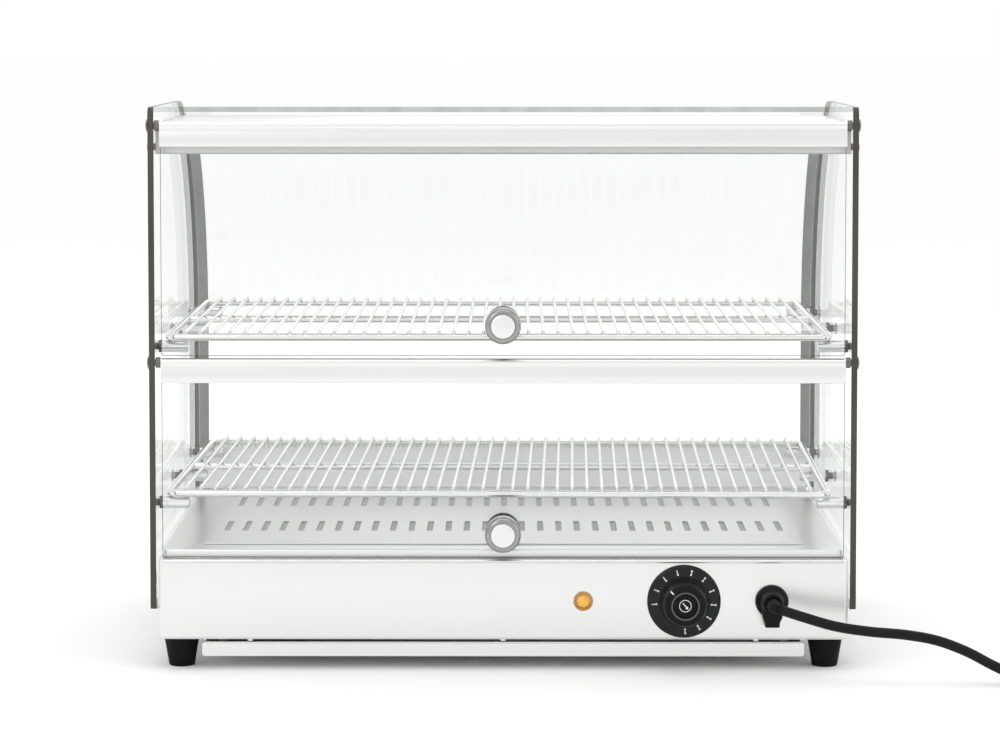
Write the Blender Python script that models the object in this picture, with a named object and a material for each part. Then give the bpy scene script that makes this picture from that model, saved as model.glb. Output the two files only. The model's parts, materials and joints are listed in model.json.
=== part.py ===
"""Two-tier heated countertop display case, modelled part by part.

+X is to the operator's right, +Y points to the customer, +Z is up. Metres.
The origin is on the surface that the feet stand on, under the middle of the case.
"""
from math import asin, cos, pi, radians, sin, tan

import bmesh
import bpy
from mathutils import Matrix, Vector

# Driving dimensions
GLASS_HALF = 0.277          # half the width over the side glasses
GLASS = 0.005               # thickness of the fixed panes
CASE_DEPTH = 0.373          # front edge to rear edge of a side glass
KNOB_REACH = 0.028          # how far the door knobs stand in front of the glass edges
CASE_TOP = 0.443
FRONT = (KNOB_REACH - CASE_DEPTH) / 2
GAP = 0.0003                # between two pieces that touch
SHEET = 0.0012              # stainless sheet

# Base
FOOT_HEIGHT = 0.0247
BASE_HALF = GLASS_HALF - GLASS - 0.0005
BASE_LOW = 0.025
BASE_TOP = 0.0885
DECK_HALF = 0.269
DECK_TOP = 0.095
DECK_FRONT = FRONT + 0.009
DECK_REAR = FRONT + 0.366
PANEL_Z = 0.0555            # height of the lamp, the thermostat and the gland
LAMP_X, DIAL_X, GLAND_X = 0.063, 0.142, 0.211
BASE_REAR = FRONT + CASE_DEPTH - 0.0002
FOOT_X = 0.255
FOOT_YS = (("front", FRONT + 0.027), ("rear", FRONT + 0.346))

# Slotted plate over the heating tube
SLOT_COUNT = 31
SLOT_PITCH = 0.015
SLOT_WIDTH = 0.0047
SLOT_LENGTH = 0.053
SLOT_ROWS = (FRONT + 0.0970, FRONT + 0.2370)

# Bent glass: an arc seen from the side, over a straight foot
BEND_Y, BEND_Z = FRONT + 0.162, 0.242
BEND_INSIDE = 0.2045
TRIM_INSIDE = 0.202
GLASS_OUTLINE = 0.211
GLASS_FILLET = 0.100        # from the top edge of a side glass into its arc
GLASS_FOOT = 0.0486         # bottom of the side glasses
TRIM = 0.0022

# Doors: height of the pivot, bottom of the bar, bottom of the glass, height of the knob
PIVOT_Y = FRONT + 0.005
ROLL = 0.0034
DOORS = {"upper": (0.4285, 0.412, 0.2484, 0.274), "lower": (0.243, 0.227, 0.0895, 0.111)}
DOOR_HALF = 0.268
DOOR_GLASS = 0.004

# Racks: top of the frame wire, sideways offset, turn on the studs
RACKS = {"upper": (0.265, -0.0035, 0.0), "lower": (0.141, -0.0015, radians(-1.0))}
RACK_HALF = 0.263
RACK_DEPTH = 0.330
RACK_FRONT = FRONT + 0.013
RACK_WIRE = 0.006
CROSS_WIRE = 0.0028
CROSS_PITCH = 0.01173
CROSS_COUNT = 43
STUD_R = 0.00475
STUD_YS = [FRONT + y for y in (0.026, 0.183, 0.338)]

# Mains lead
LEAD_D = 0.008
COIL_CENTRE = Vector((0.474, FRONT - 0.008, 0.0))
COIL_R = 0.044
COIL_HALF_WIDTH = LEAD_D
COIL_HEIGHT = 3 * LEAD_D
PLUG_X = COIL_CENTRE.x + COIL_R + LEAD_D / 2    # in line with the outermost turn
PLUG_FRONT = FRONT + 0.068
LEAD_MOUTH = FRONT - 0.0145
LEAD_ROUTE = [
    (GLAND_X, LEAD_MOUTH, PANEL_Z - 0.001), (GLAND_X + 0.001, LEAD_MOUTH - 0.010, PANEL_Z - 0.001),
    (GLAND_X + 0.007, LEAD_MOUTH - 0.022, PANEL_Z - 0.0014), (GLAND_X + 0.021, LEAD_MOUTH - 0.033, 0.0512),
    (0.256, FRONT - 0.0535, 0.0452), (0.282, FRONT - 0.0570, 0.0418), (0.309, FRONT - 0.0580, 0.0396),
    (0.334, FRONT - 0.0580, 0.0350), (0.357, FRONT - 0.0575, 0.0262), (0.377, FRONT - 0.0570, 0.0156),
    (0.395, FRONT - 0.0565, 0.0080), (0.415, FRONT - 0.0562, 0.0044), (0.4445, FRONT - 0.0560, 0.0040),
]


# ---------------------------------------------------------------- materials

def material(name, colour, roughness, metallic=0.0, transmission=0.0):
    made = bpy.data.materials.new(name)
    made.use_nodes = True
    shader = made.node_tree.nodes["Principled BSDF"]
    shader.inputs["Base Color"].default_value = (*colour, 1.0)
    shader.inputs["Roughness"].default_value = roughness
    shader.inputs["Metallic"].default_value = metallic
    shader.inputs["Transmission Weight"].default_value = transmission
    return made


# ---------------------------------------------------------------- shapes

def rounded(corners, steps=4):
    """Outline through (u, v, radius) corners, each turned on an arc of that radius."""
    points = []
    for i, (u, v, radius) in enumerate(corners):
        here = Vector((u, v))
        if radius == 0:
            points.append(here)
            continue
        before = (Vector(corners[i - 1][:2]) - here).normalized()
        after = (Vector(corners[(i + 1) % len(corners)][:2]) - here).normalized()
        half = before.angle(after) / 2
        to_centre = (before + after).normalized()
        centre = here + to_centre * (radius / sin(half))
        start = here + before * (radius / tan(half)) - centre
        end = here + after * (radius / tan(half)) - centre
        turn = start.angle_signed(end)
        for k in range(steps + 1):
            points.append(centre + Matrix.Rotation(-turn * k / steps, 2) @ start)
    return points


def rectangle(half_x, low_y, high_y, radius, z, steps=4):
    """Closed loop of points round a rectangle with rounded corners, at height z."""
    corners = [(-half_x, low_y), (half_x, low_y), (half_x, high_y), (-half_x, high_y)]
    return [Vector((u, v, z)) for u, v in rounded([(x, y, radius) for x, y in corners], steps)]


def prism(outline, axis, low, high):
    """The outline, in the two directions across axis, carried along axis from low to high."""
    places = {"X": lambda u, v: (low, u, v), "Y": lambda u, v: (u, low, v), "Z": lambda u, v: (u, v, low)}
    place = places[axis]
    bm = bmesh.new()
    face = bm.faces.new([bm.verts.new(place(u, v)) for u, v in outline])
    grown = bmesh.ops.extrude_face_region(bm, geom=[face], use_keep_orig=True)
    travel = {"X": (high - low, 0, 0), "Y": (0, high - low, 0), "Z": (0, 0, high - low)}[axis]
    bmesh.ops.translate(bm, verts=[g for g in grown["geom"] if isinstance(g, bmesh.types.BMVert)], vec=travel)
    return bm


def block(low, high):
    """Rectangular block between two corners."""
    corners = [(low[0], low[1]), (high[0], low[1]), (high[0], high[1]), (low[0], high[1])]
    return prism(corners, "Z", low[2], high[2])


def turned(profile, axis="Z", at=(0, 0, 0), sides=20, hollow=False):
    """Profile of (radius, distance along axis) points, spun round the axis through the point at."""
    bm = bmesh.new()
    verts = [bm.verts.new((r, 0, h)) for r, h in profile]
    edges = [bm.edges.new(pair) for pair in zip(verts, verts[1:])]
    if hollow:
        edges.append(bm.edges.new((verts[-1], verts[0])))
    bmesh.ops.spin(bm, geom=verts + edges, cent=(0, 0, 0), axis=(0, 0, 1), angle=2 * pi, steps=sides)
    bmesh.ops.remove_doubles(bm, verts=bm.verts, dist=1e-7)
    turns = {"X": (pi / 2, 4, "Y"), "Y": (-pi / 2, 4, "X"), "Z": (0, 4, "Z")}
    bmesh.ops.transform(bm, matrix=Matrix.Translation(at) @ Matrix.Rotation(*turns[axis]), verts=bm.verts)
    return bm


def looped(loops, closed=False):
    """Skin over loops with equal point counts: a ring if closed, otherwise capped at both ends."""
    bm = bmesh.new()
    rings = [[bm.verts.new(p) for p in loop] for loop in loops]
    pairs = list(zip(rings, rings[1:]))
    if closed:
        pairs.append((rings[-1], rings[0]))
    else:
        bm.faces.new(rings[0])
        bm.faces.new(rings[-1])
    for one, other in pairs:
        for i in range(len(one)):
            j = (i + 1) % len(one)
            bm.faces.new((one[i], one[j], other[j], other[i]))
    return bm


def smooth_route(points, spacing):
    """Points of a Catmull-Rom curve through the given points, about spacing apart."""
    points = [Vector(p) for p in points]
    ends = [2 * points[0] - points[1]] + points + [2 * points[-1] - points[-2]]
    made = [points[0]]
    for a, b, c, d in zip(ends, ends[1:], ends[2:], ends[3:]):
        count = max(1, round((c - b).length / spacing))
        for k in range(1, count + 1):
            t = k / count
            bend = (2 * a - 5 * b + 4 * c - d) * t * t + (3 * b - a - 3 * c + d) * t ** 3
            made.append((2 * b + (c - a) * t + bend) / 2)
    return made


# ---------------------------------------------------------------- objects

def put(name, bm, finish, parent=None, smooth=True):
    """Object from a bmesh that is given in world coordinates, hung on its parent empty."""
    bmesh.ops.recalc_face_normals(bm, faces=bm.faces)
    origin = parent.location if parent else Vector()
    bmesh.ops.translate(bm, verts=bm.verts, vec=-origin)
    mesh = bpy.data.meshes.new(name)
    bm.to_mesh(mesh)
    bm.free()
    if smooth:
        mesh.shade_smooth()
        mesh.set_sharp_from_angle(angle=radians(35))
    if finish:
        mesh.materials.append(finish)
    made = bpy.data.objects.new(name, mesh)
    bpy.context.scene.collection.objects.link(made)
    made.parent = parent
    return made


def joint(name, at):
    """Empty on a joint's axis, for the pieces that move with it."""
    made = bpy.data.objects.new(name, None)
    made.location = at
    bpy.context.scene.collection.objects.link(made)
    return made


def combine(target, bm, operation, name):
    """Boolean of a hidden helper shape with the target."""
    helper = put(name, bm, None, target.parent, smooth=False)
    helper.hide_render = True
    helper.display_type = "WIRE"
    modifier = target.modifiers.new(name, "BOOLEAN")
    modifier.operation = operation
    modifier.object = helper


def gathered(shapes):
    """Several bmeshes put into one."""
    whole = bmesh.new()
    for bm in shapes:
        mesh = bpy.data.meshes.new("part_of_helper")
        bm.to_mesh(mesh)
        bm.free()
        whole.from_mesh(mesh)
        bpy.data.meshes.remove(mesh)
    return whole


def rod(radius, axis, at, length, sides=16):
    """Plain round bar that starts at a point and runs along an axis."""
    return turned([(0, 0), (radius, 0), (radius, length), (0, length)], axis, at, sides)


def across(half_x, outline, name, finish, parent=None):
    """Folded sheet or bar: a side outline of (y, z) points carried from wall to wall."""
    return put(name, prism(outline, "X", -half_x, half_x), finish, parent)


# ---------------------------------------------------------------- base

def make_base(steel, rubber):
    def level(inset, z):
        return rectangle(BASE_HALF - inset, FRONT + inset, BASE_REAR - inset, 0.004, z)

    flange = 0.012
    rings = [level(0, BASE_LOW), level(0, BASE_TOP), level(flange, BASE_TOP),
             level(flange, BASE_TOP - SHEET), level(SHEET, BASE_TOP - SHEET), level(SHEET, BASE_LOW)]
    shell = put("base_shell", looped(rings, closed=True), steel)
    holes = [rod(r, "Y", (x, FRONT - 0.003, PANEL_Z), 0.008)
             for x, r in ((LAMP_X, 0.0064), (DIAL_X, 0.0045), (GLAND_X, 0.0083))]
    combine(shell, gathered(holes), "DIFFERENCE", "front_holes")

    inset = SHEET + GAP
    floor = rectangle(BASE_HALF - inset, FRONT + inset, BASE_REAR - inset, 0.003, BASE_LOW)
    lid = [p + Vector((0, 0, SHEET)) for p in floor]
    put("bottom_plate", looped([floor, lid]), steel)

    foot = [(0, 0), (0.0098, 0), (0.01025, 0.0006), (0.0142, FOOT_HEIGHT - 0.001),
            (0.0142, FOOT_HEIGHT), (0, FOOT_HEIGHT)]
    for side, x in (("left", -FOOT_X), ("right", FOOT_X)):
        for end, y in FOOT_YS:
            put(f"foot_{end}_{side}", turned(foot, at=(x, y, 0)), rubber)


def make_deck(steel):
    thick = 0.001
    skirt = BASE_TOP + GAP
    front, rear = DECK_FRONT, DECK_REAR
    opening = (0.226, FRONT + 0.044, FRONT + 0.340, 0.006)
    rings = [
        rectangle(DECK_HALF, front, rear, 0.003, skirt),
        rectangle(DECK_HALF, front, rear, 0.003, DECK_TOP),
        rectangle(*opening, DECK_TOP),
        rectangle(*opening, DECK_TOP - thick),
        rectangle(DECK_HALF - thick, front + thick, rear - thick, 0.002, DECK_TOP - thick),
        rectangle(DECK_HALF - thick, front + thick, rear - thick, 0.002, skirt),
    ]
    put("deck_pan", looped(rings, closed=True), steel)

    low = DECK_TOP + GAP
    sheet = rectangle(0.238, FRONT + 0.032, FRONT + 0.352, 0.008, low)
    plate = put("slotted_deck_plate", looped([sheet, [p + Vector((0, 0, SHEET)) for p in sheet]]), steel)
    slots = []
    for row in SLOT_ROWS:
        for k in range(SLOT_COUNT):
            x = (k - SLOT_COUNT // 2) * SLOT_PITCH
            corner = (x - SLOT_WIDTH / 2, row, low - 0.002)
            slots.append(block(corner, (x + SLOT_WIDTH / 2, row + SLOT_LENGTH, low + 0.004)))
    combine(plate, gathered(slots), "DIFFERENCE", "plate_slots")

    rear, foot = FRONT + 0.363, FRONT + 0.353
    top = 0.132
    outline = [(foot, low), (rear, low), (rear, top), (rear - SHEET, top),
               (rear - SHEET, low + SHEET), (foot, low + SHEET)]
    across(0.2685, outline, "rear_apron", steel)


def make_tray(steel):
    slide = joint("crumb_tray_joint", (0, FRONT + 0.008, 0.016))
    low, lip_half, lip_top = 0.010, 0.2375, 0.0215
    half, front, rear = 0.2280, FRONT + 0.009, FRONT + 0.340
    wall, flange = 0.001, 0.0055
    rim = 0.0163
    loops = [
        rectangle(half, front, rear, 0.003, low + 0.001),
        rectangle(half, front, rear, 0.003, rim - wall),
        rectangle(half + flange, front, rear + 0.001, 0.003, rim - wall),
        rectangle(half + flange, front, rear + 0.001, 0.003, rim),
        rectangle(half - wall, front + wall, rear - wall, 0.003, rim),
        rectangle(half - wall, front + wall, rear - wall, 0.003, low + 0.001 + wall),
    ]
    tray = put("crumb_tray", looped(loops), steel, slide)
    lip = rounded([(-lip_half, low, 0.003), (lip_half, low, 0.003), (lip_half, lip_top, 0),
                   (-lip_half, lip_top, 0)])
    combine(tray, prism(lip, "Y", FRONT + 0.008, front + 0.0004), "UNION", "tray_lip")

    web, ledge = 0.2345, 0.2295
    for name, way in (("left", -1), ("right", 1)):
        outline = [(ledge, 0.0137), (web + SHEET, 0.0137), (web + SHEET, 0.0247), (ledge - 0.004, 0.0247),
                   (ledge - 0.004, 0.0237), (web, 0.0237), (web, 0.0149), (ledge, 0.0149)]
        rail = prism([(way * x, z) for x, z in outline], "Y", FRONT + 0.012, FRONT + 0.345)
        put(f"tray_rail_{name}", rail, steel)


def make_services(black, brass, lens):
    at = (LAMP_X, FRONT, PANEL_Z)
    body = [(0, 0.004), (0.0051, 0.004), (0.0052, -0.0022), (0.0068, -0.0022), (0.0077, -0.0012),
            (0.0077, -GAP), (0.0060, -GAP), (0.0058, 0.024), (0, 0.024)]
    put("lamp_body", turned(body, "Y", at), black)
    put("lamp_lens", turned([(0, -0.0040), (0.0025, -0.0037), (0.0043, -0.0026), (0.0046, -0.001),
                             (0.0046, 0.0035), (0, 0.0035)], "Y", at), lens)

    at = (DIAL_X, FRONT, PANEL_Z)
    knob_joint = joint("thermostat_joint", at)
    ring = [(0.0042, -GAP), (0.0042, -0.0033), (0.0270, -0.0033), (0.0289, -0.0018), (0.0289, -GAP)]
    put("dial_bezel", turned(ring, "Y", at, sides=32, hollow=True), black)
    knob = [(0, -0.020), (0.0033, -0.020), (0.0033, -0.0036), (0.0195, -0.0036), (0.0195, -0.0075),
            (0.0178, -0.0235), (0.0162, -0.0260), (0, -0.0260)]
    put("dial_knob", turned(knob, "Y", at, sides=24), black, knob_joint)
    shaft = [(0, -0.0195), (0.003, -0.0195), (0.003, 0.0012), (0, 0.0012)]
    put("thermostat_shaft", turned(shaft, "Y", at), brass, knob_joint)
    case = block((DIAL_X - 0.018, FRONT + 0.0016, 0.034), (DIAL_X + 0.018, FRONT + 0.034, 0.077))
    put("thermostat_body", case, brass)

    at = (GLAND_X, FRONT, PANEL_Z)
    gland = [(0, -0.0140), (0.0070, -0.0140), (0.0085, -0.0128), (0.0092, -0.0045), (0.0118, -0.0042),
             (0.0130, -0.0030), (0.0130, -GAP), (0.0080, -GAP), (0.0080, 0.014), (0, 0.014)]
    body = put("cable_gland", turned(gland, "Y", at), black)
    tab = [(GLAND_X - 0.0085, PANEL_Z), (GLAND_X - 0.0058, 0.036), (GLAND_X + 0.0058, 0.036),
           (GLAND_X + 0.0085, PANEL_Z)]
    combine(body, prism(tab, "Y", FRONT - 0.0110, FRONT - 0.0021), "UNION", "gland_tab")
    nut = [(0.0086, 0.0016), (0.0125, 0.0016), (0.0125, 0.0075), (0.0086, 0.0075)]
    put("gland_nut", turned(nut, "Y", at, sides=18, hollow=True), black)
    put("terminal_block", block((0.188, FRONT + 0.050, 0.0266), (0.232, FRONT + 0.072, 0.046)), black)


def make_element(steel):
    """Heating tube bent into a flat loop, open at the rear where its ends are wired."""
    z, half = 0.070, 0.190
    front, rear = FRONT + 0.075, FRONT + 0.320
    loop = rounded([(-0.030, rear, 0), (-0.030, front + 0.120, 0.028), (-half, front + 0.120, 0.028),
                    (-half, front, 0.028), (half, front, 0.028), (half, front + 0.120, 0.028),
                    (0.030, front + 0.120, 0.028), (0.030, rear, 0)], 5)
    put_curve("heating_element", [(x, y, z) for x, y in loop], 0.004, 1, steel)


def put_curve(name, points, radius, resolution, finish):
    curve = bpy.data.curves.new(name, "CURVE")
    curve.dimensions = "3D"
    curve.bevel_depth = radius
    curve.bevel_resolution = resolution
    curve.use_fill_caps = True
    spline = curve.splines.new("POLY")
    spline.points.add(len(points) - 1)
    for slot, point in zip(spline.points, points):
        slot.co = (*point, 1)
    curve.materials.append(finish)
    made = bpy.data.objects.new(name, curve)
    bpy.context.scene.collection.objects.link(made)


# ---------------------------------------------------------------- panes and roof

def bent(inside, outside, foot, angle, steps=20):
    """Side outline of a bent sheet: straight up from foot, then an arc towards the roof."""
    turns = [radians(angle) * k / steps for k in range(steps + 1)]

    def arc(radius):
        return [(BEND_Y + radius * cos(turn), BEND_Z + radius * sin(turn)) for turn in turns]

    return [(BEND_Y + outside, foot)] + arc(outside) + arc(inside)[::-1] + [(BEND_Y + inside, foot)]


def side_glass_outline():
    """Straight front and top, then a wide fillet into the customer-side arc."""
    fillet_steps, arc_steps = 8, 12
    centre_z = CASE_TOP - GLASS_FILLET
    reach = GLASS_OUTLINE - GLASS_FILLET
    lean = asin((centre_z - BEND_Z) / reach)
    centre_y = BEND_Y + reach * cos(lean)
    meet = pi / 2 - lean
    points = rounded([(FRONT, GLASS_FOOT, 0.003), (FRONT, CASE_TOP, 0.006), (centre_y, CASE_TOP, 0)])[:-1]
    for k in range(fillet_steps + 1):
        turn = meet * k / fillet_steps
        points.append(Vector((centre_y + GLASS_FILLET * sin(turn), centre_z + GLASS_FILLET * cos(turn))))
    for k in range(1, arc_steps + 1):
        turn = meet + (pi / 2 - meet) * k / arc_steps
        points.append(Vector((BEND_Y + GLASS_OUTLINE * sin(turn), BEND_Z + GLASS_OUTLINE * cos(turn))))
    points.append(Vector((BEND_Y + GLASS_OUTLINE, GLASS_FOOT)))
    return points


def screw_places():
    """(y, z) of the bolts through a side glass: door pivots, roof channel, rack studs."""
    pivots = [(PIVOT_Y, DOORS[door][0]) for door in DOORS]
    studs = [(y, stud_height(rack)) for rack in RACKS for y in STUD_YS]
    return pivots, (FRONT + 0.016, 0.4115), studs


def stud_height(rack):
    return RACKS[rack][0] - RACK_WIRE - GAP - STUD_R


def make_panes(glass, trim, steel):
    outline = side_glass_outline()
    pivots, channel_bolt, studs = screw_places()
    places = [*pivots, channel_bolt, *studs]
    for side, way in (("left", -1), ("right", 1)):
        inner, outer = way * (GLASS_HALF - GLASS), way * GLASS_HALF
        pane = put(f"side_glass_{side}", prism(outline, "X", min(inner, outer), max(inner, outer)), glass)
        start = min(inner, outer) - 0.002
        drills = [rod(0.0034, "X", (start, y, z), GLASS + 0.004, 12) for y, z in places]
        combine(pane, gathered(drills), "DIFFERENCE", f"glass_holes_{side}")
    sheet = bent(BEND_INSIDE, BEND_INSIDE + GLASS, BASE_TOP + GAP, 69)
    across(GLASS_HALF - GLASS - GAP, sheet, "curved_glass", glass)
    band = bent(TRIM_INSIDE, TRIM_INSIDE + TRIM, DECK_TOP + GAP, 66.2)
    for side, low, high in (("left", -0.2715, -0.2635), ("right", 0.2635, 0.2715)):
        put(f"corner_trim_{side}", prism(band, "X", low, high), trim)

    half = GLASS_HALF - GLASS - GAP
    top, under = 0.4305, 0.4293
    put("roof_panel", block((-half, FRONT + 0.0095, under), (half, FRONT + 0.2395, top)), steel)
    web, roof, low = FRONT + 0.0105, under - GAP, 0.406
    outline = [(web, low), (FRONT + 0.022, low), (FRONT + 0.022, low + SHEET), (web + SHEET, low + SHEET),
               (web + SHEET, roof - SHEET), (FRONT + 0.034, roof - SHEET), (FRONT + 0.034, roof), (web, roof)]
    across(half, outline, "roof_channel", steel)


def make_bolts(steel, dark):
    """Bolts through the side glasses, each with its spacer and pin in one piece."""
    face, wall = GLASS_HALF, GLASS_HALF - GLASS
    head = [(0, face + 0.0018), (0.0043, face + 0.0018), (0.0055, face + GAP)]
    pivots, channel_bolt, studs = screw_places()

    def both_sides(name, body, finish, y, z, sides=12):
        for side, way in (("left", -1), ("right", 1)):
            profile = [(r, way * x) for r, x in head + body]
            put(f"{name}_{side}", turned(profile, "X", (0, y, z), sides), finish)

    pin = [(0.0029, face + GAP), (0.0029, wall - GAP), (0.0042, wall - GAP), (0.0042, 0.2684),
           (0.0018, 0.2684), (0.0018, 0.2560), (0, 0.2560)]
    for door, (y, z) in zip(DOORS, pivots):
        both_sides(f"{door}_pivot_bolt", pin, dark, y, z)
    nut = [(0.0029, face + GAP), (0.0029, wall - 0.003), (0.0040, wall - 0.003), (0.0040, 0.2650),
           (0, 0.2650)]
    both_sides("roof_channel_bolt", nut, dark, *channel_bolt)
    stud = [(0.0029, face + GAP), (0.0029, wall - GAP), (0.0062, wall - GAP), (0.0062, 0.2690),
            (STUD_R, 0.2690), (STUD_R, 0.2480), (0, 0.2480)]
    names = [f"{rack}_stud_{where}" for rack in RACKS for where in ("front", "middle", "rear")]
    for name, (y, z) in zip(names, studs):
        both_sides(name, stud, steel, y, z)


# ---------------------------------------------------------------- doors

def make_door(name, steel, glass, dark):
    pivot_z, bar_low, glass_low, knob_z = DOORS[name]
    hinge = joint(f"{name}_door_joint", (0, PIVOT_Y, pivot_z))
    slot_half = DOOR_GLASS / 2 + GAP
    slot_top = pivot_z - 0.005
    roll = [(PIVOT_Y - ROLL * cos(pi * k / 10), pivot_z + ROLL * sin(pi * k / 10)) for k in range(11)]
    slot = [(PIVOT_Y + slot_half, bar_low), (PIVOT_Y + slot_half, slot_top),
            (PIVOT_Y - slot_half, slot_top), (PIVOT_Y - slot_half, bar_low)]
    outline = [(PIVOT_Y - ROLL, bar_low), *roll, (PIVOT_Y + ROLL, bar_low), *slot]
    bar = across(DOOR_HALF, outline, f"{name}_door_bar", steel, hinge)
    starts = (-DOOR_HALF - 0.003, DOOR_HALF - 0.013)
    bores = [rod(0.0021, "X", (x, PIVOT_Y, pivot_z), 0.016, 12) for x in starts]
    combine(bar, gathered(bores), "DIFFERENCE", f"{name}_bar_bores")

    front, back = PIVOT_Y - DOOR_GLASS / 2, PIVOT_Y + DOOR_GLASS / 2
    half, top = DOOR_HALF - 0.0005, slot_top - 0.0005
    corners = [(-half, glass_low, 0.002), (half, glass_low, 0.002), (half, top, 0), (-half, top, 0)]
    pane = put(f"{name}_door_glass", prism(rounded(corners), "Y", front, back), glass, hinge)
    combine(pane, rod(0.0034, "Y", (0, front - 0.002, knob_z), DOOR_GLASS + 0.004), "DIFFERENCE",
            f"{name}_knob_hole")

    at = (0, front, knob_z)
    tip = FRONT - KNOB_REACH - front
    knob = [(0, -0.0160), (0.0033, -0.0160), (0.0033, -GAP), (0.0075, -GAP), (0.0070, -0.0080),
            (0.0125, -0.0120), (0.0140, -0.0150), (0.0140, tip + 0.006), (0.0128, tip + 0.0035),
            (0.0094, tip + 0.0025), (0.0094, tip + 0.0006), (0.0086, tip), (0, tip)]
    put(f"{name}_door_knob", turned(knob, "Y", at, sides=20), steel, hinge)
    behind = DOOR_GLASS + GAP
    plate = [(0, behind + 0.003), (0.0125, behind + 0.003), (0.0132, behind + 0.0022), (0.0132, behind),
             (0.0029, behind), (0.0029, -0.0150), (0, -0.0150)]
    put(f"{name}_knob_plate", turned(plate, "Y", at, sides=20), dark, hinge)


# ---------------------------------------------------------------- racks

def make_rack(name, chrome):
    """Frame of round wire with a middle bar, and straight wires welded across its top."""
    top, offset, turn = RACKS[name]
    low = top - RACK_WIRE
    centre = Vector((offset, RACK_FRONT + RACK_DEPTH / 2, low))
    lift = joint(f"{name}_rack_joint", centre)
    half_y = RACK_DEPTH / 2

    def ring(grow, z):
        return rectangle(RACK_HALF - grow, grow - half_y, half_y - grow, 0.010 - grow, z, 3)

    quarter = RACK_WIRE / 4
    section = [(quarter, 0), (0, quarter), (0, 3 * quarter), (quarter, RACK_WIRE), (3 * quarter, RACK_WIRE),
               (RACK_WIRE, 3 * quarter), (RACK_WIRE, quarter), (3 * quarter, 0)]
    frame = looped([ring(grow, z) for grow, z in section], closed=True)
    half_bar = RACK_WIRE / 2 - 0.0002
    middle = block((0.002 - RACK_HALF, -half_bar, 0.0003), (RACK_HALF - 0.002, half_bar, RACK_WIRE - 0.0003))
    wires = []
    for k in range(CROSS_COUNT):
        x = (k - CROSS_COUNT // 2) * CROSS_PITCH
        base = RACK_WIRE - 0.0005
        high = base + CROSS_WIRE
        corner = (x - CROSS_WIRE / 2, 0.001 - half_y, base)
        wires.append(block(corner, (x + CROSS_WIRE / 2, half_y - 0.001, high)))
    place = Matrix.Translation(centre) @ Matrix.Rotation(turn, 4, "Z")
    shapes = [frame, middle, gathered(wires)]
    for bm in shapes:
        bmesh.ops.transform(bm, matrix=place, verts=bm.verts)
    rack = put(f"{name}_rack", shapes[0], chrome, lift)
    combine(rack, shapes[1], "UNION", f"{name}_middle_bar")
    combine(rack, shapes[2], "UNION", f"{name}_cross_wires")


# ---------------------------------------------------------------- mains lead

def make_lead(black):
    put_curve("power_lead", smooth_route(LEAD_ROUTE, 2.5 * LEAD_D), LEAD_D / 2, 2, black)
    inner, outer = COIL_R - COIL_HALF_WIDTH, COIL_R + COIL_HALF_WIDTH
    ring = [(inner, 0), (outer, 0), (outer, COIL_HEIGHT), (inner, COIL_HEIGHT)]
    put("lead_coil", turned(ring, "Z", COIL_CENTRE, sides=32, hollow=True), black)

    half = 0.018
    body = [(0, 0), (0.0055, 0), (0.0075, 0.020), (0.0150, 0.028), (half, 0.040), (half, 0.056),
            (0.0165, 0.058), (0, 0.058)]
    at = (PLUG_X, PLUG_FRONT, half)
    plug = put("mains_plug", turned(body, "Y", at, sides=18), black)
    pins = [rod(0.0024, "Y", (PLUG_X + x, PLUG_FRONT + 0.050, half), 0.027, 12) for x in (-0.0095, 0.0095)]
    combine(plug, gathered(pins), "UNION", "plug_pins")


def main():
    for old in list(bpy.data.objects):
        bpy.data.objects.remove(old)
    steel = material("brushed_stainless", (0.72, 0.72, 0.71), 0.32, 1.0)
    chrome = material("bright_wire", (0.80, 0.80, 0.80), 0.15, 1.0)
    brass = material("plated_metal", (0.55, 0.52, 0.42), 0.4, 1.0)
    glass = material("clear_glass", (0.90, 0.96, 0.94), 0.02, 0.0, 1.0)
    trim = material("grey_trim", (0.27, 0.28, 0.29), 0.5)
    black = material("black_plastic", (0.02, 0.02, 0.02), 0.4)
    rubber = material("black_rubber", (0.015, 0.015, 0.015), 0.7)
    lens = material("amber_lens", (0.95, 0.50, 0.05), 0.2)
    make_base(steel, rubber)
    make_deck(steel)
    make_tray(steel)
    make_services(black, brass, lens)
    make_element(steel)
    make_panes(glass, trim, steel)
    make_bolts(chrome, trim)
    for name in DOORS:
        make_door(name, steel, glass, trim)
    for name in RACKS:
        make_rack(name, chrome)
    make_lead(black)


main()
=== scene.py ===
"""Looks of a two-tier heated display case: brushed steel, clear panes, bright wire and black plastic.

Sizes are in metres. The frame gives every place; the sizes and colours that a user would change are
properties of the scene, shown in the sidebar panel with one button for each group of pieces.
"""

import json
from math import atan, cos, pi, radians, sin

import bmesh
import bpy
import numpy as np
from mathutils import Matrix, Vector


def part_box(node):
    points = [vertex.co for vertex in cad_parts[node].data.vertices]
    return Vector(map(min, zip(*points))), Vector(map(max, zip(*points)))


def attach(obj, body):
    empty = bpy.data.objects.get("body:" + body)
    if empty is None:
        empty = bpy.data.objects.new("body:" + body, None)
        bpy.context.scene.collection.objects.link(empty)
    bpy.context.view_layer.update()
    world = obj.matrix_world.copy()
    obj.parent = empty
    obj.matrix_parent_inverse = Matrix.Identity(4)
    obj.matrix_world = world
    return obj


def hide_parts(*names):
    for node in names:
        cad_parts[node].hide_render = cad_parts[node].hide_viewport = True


bl_info = {
    "name": "Hot Food Display Case",
    "version": (1, 0, 0),
    "blender": (4, 5, 0),
    "location": "View3D > Sidebar > Display Case",
    "description": "Makes the visible pieces of a heated two-tier display case on its frame",
    "category": "Add Mesh",
}

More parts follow.
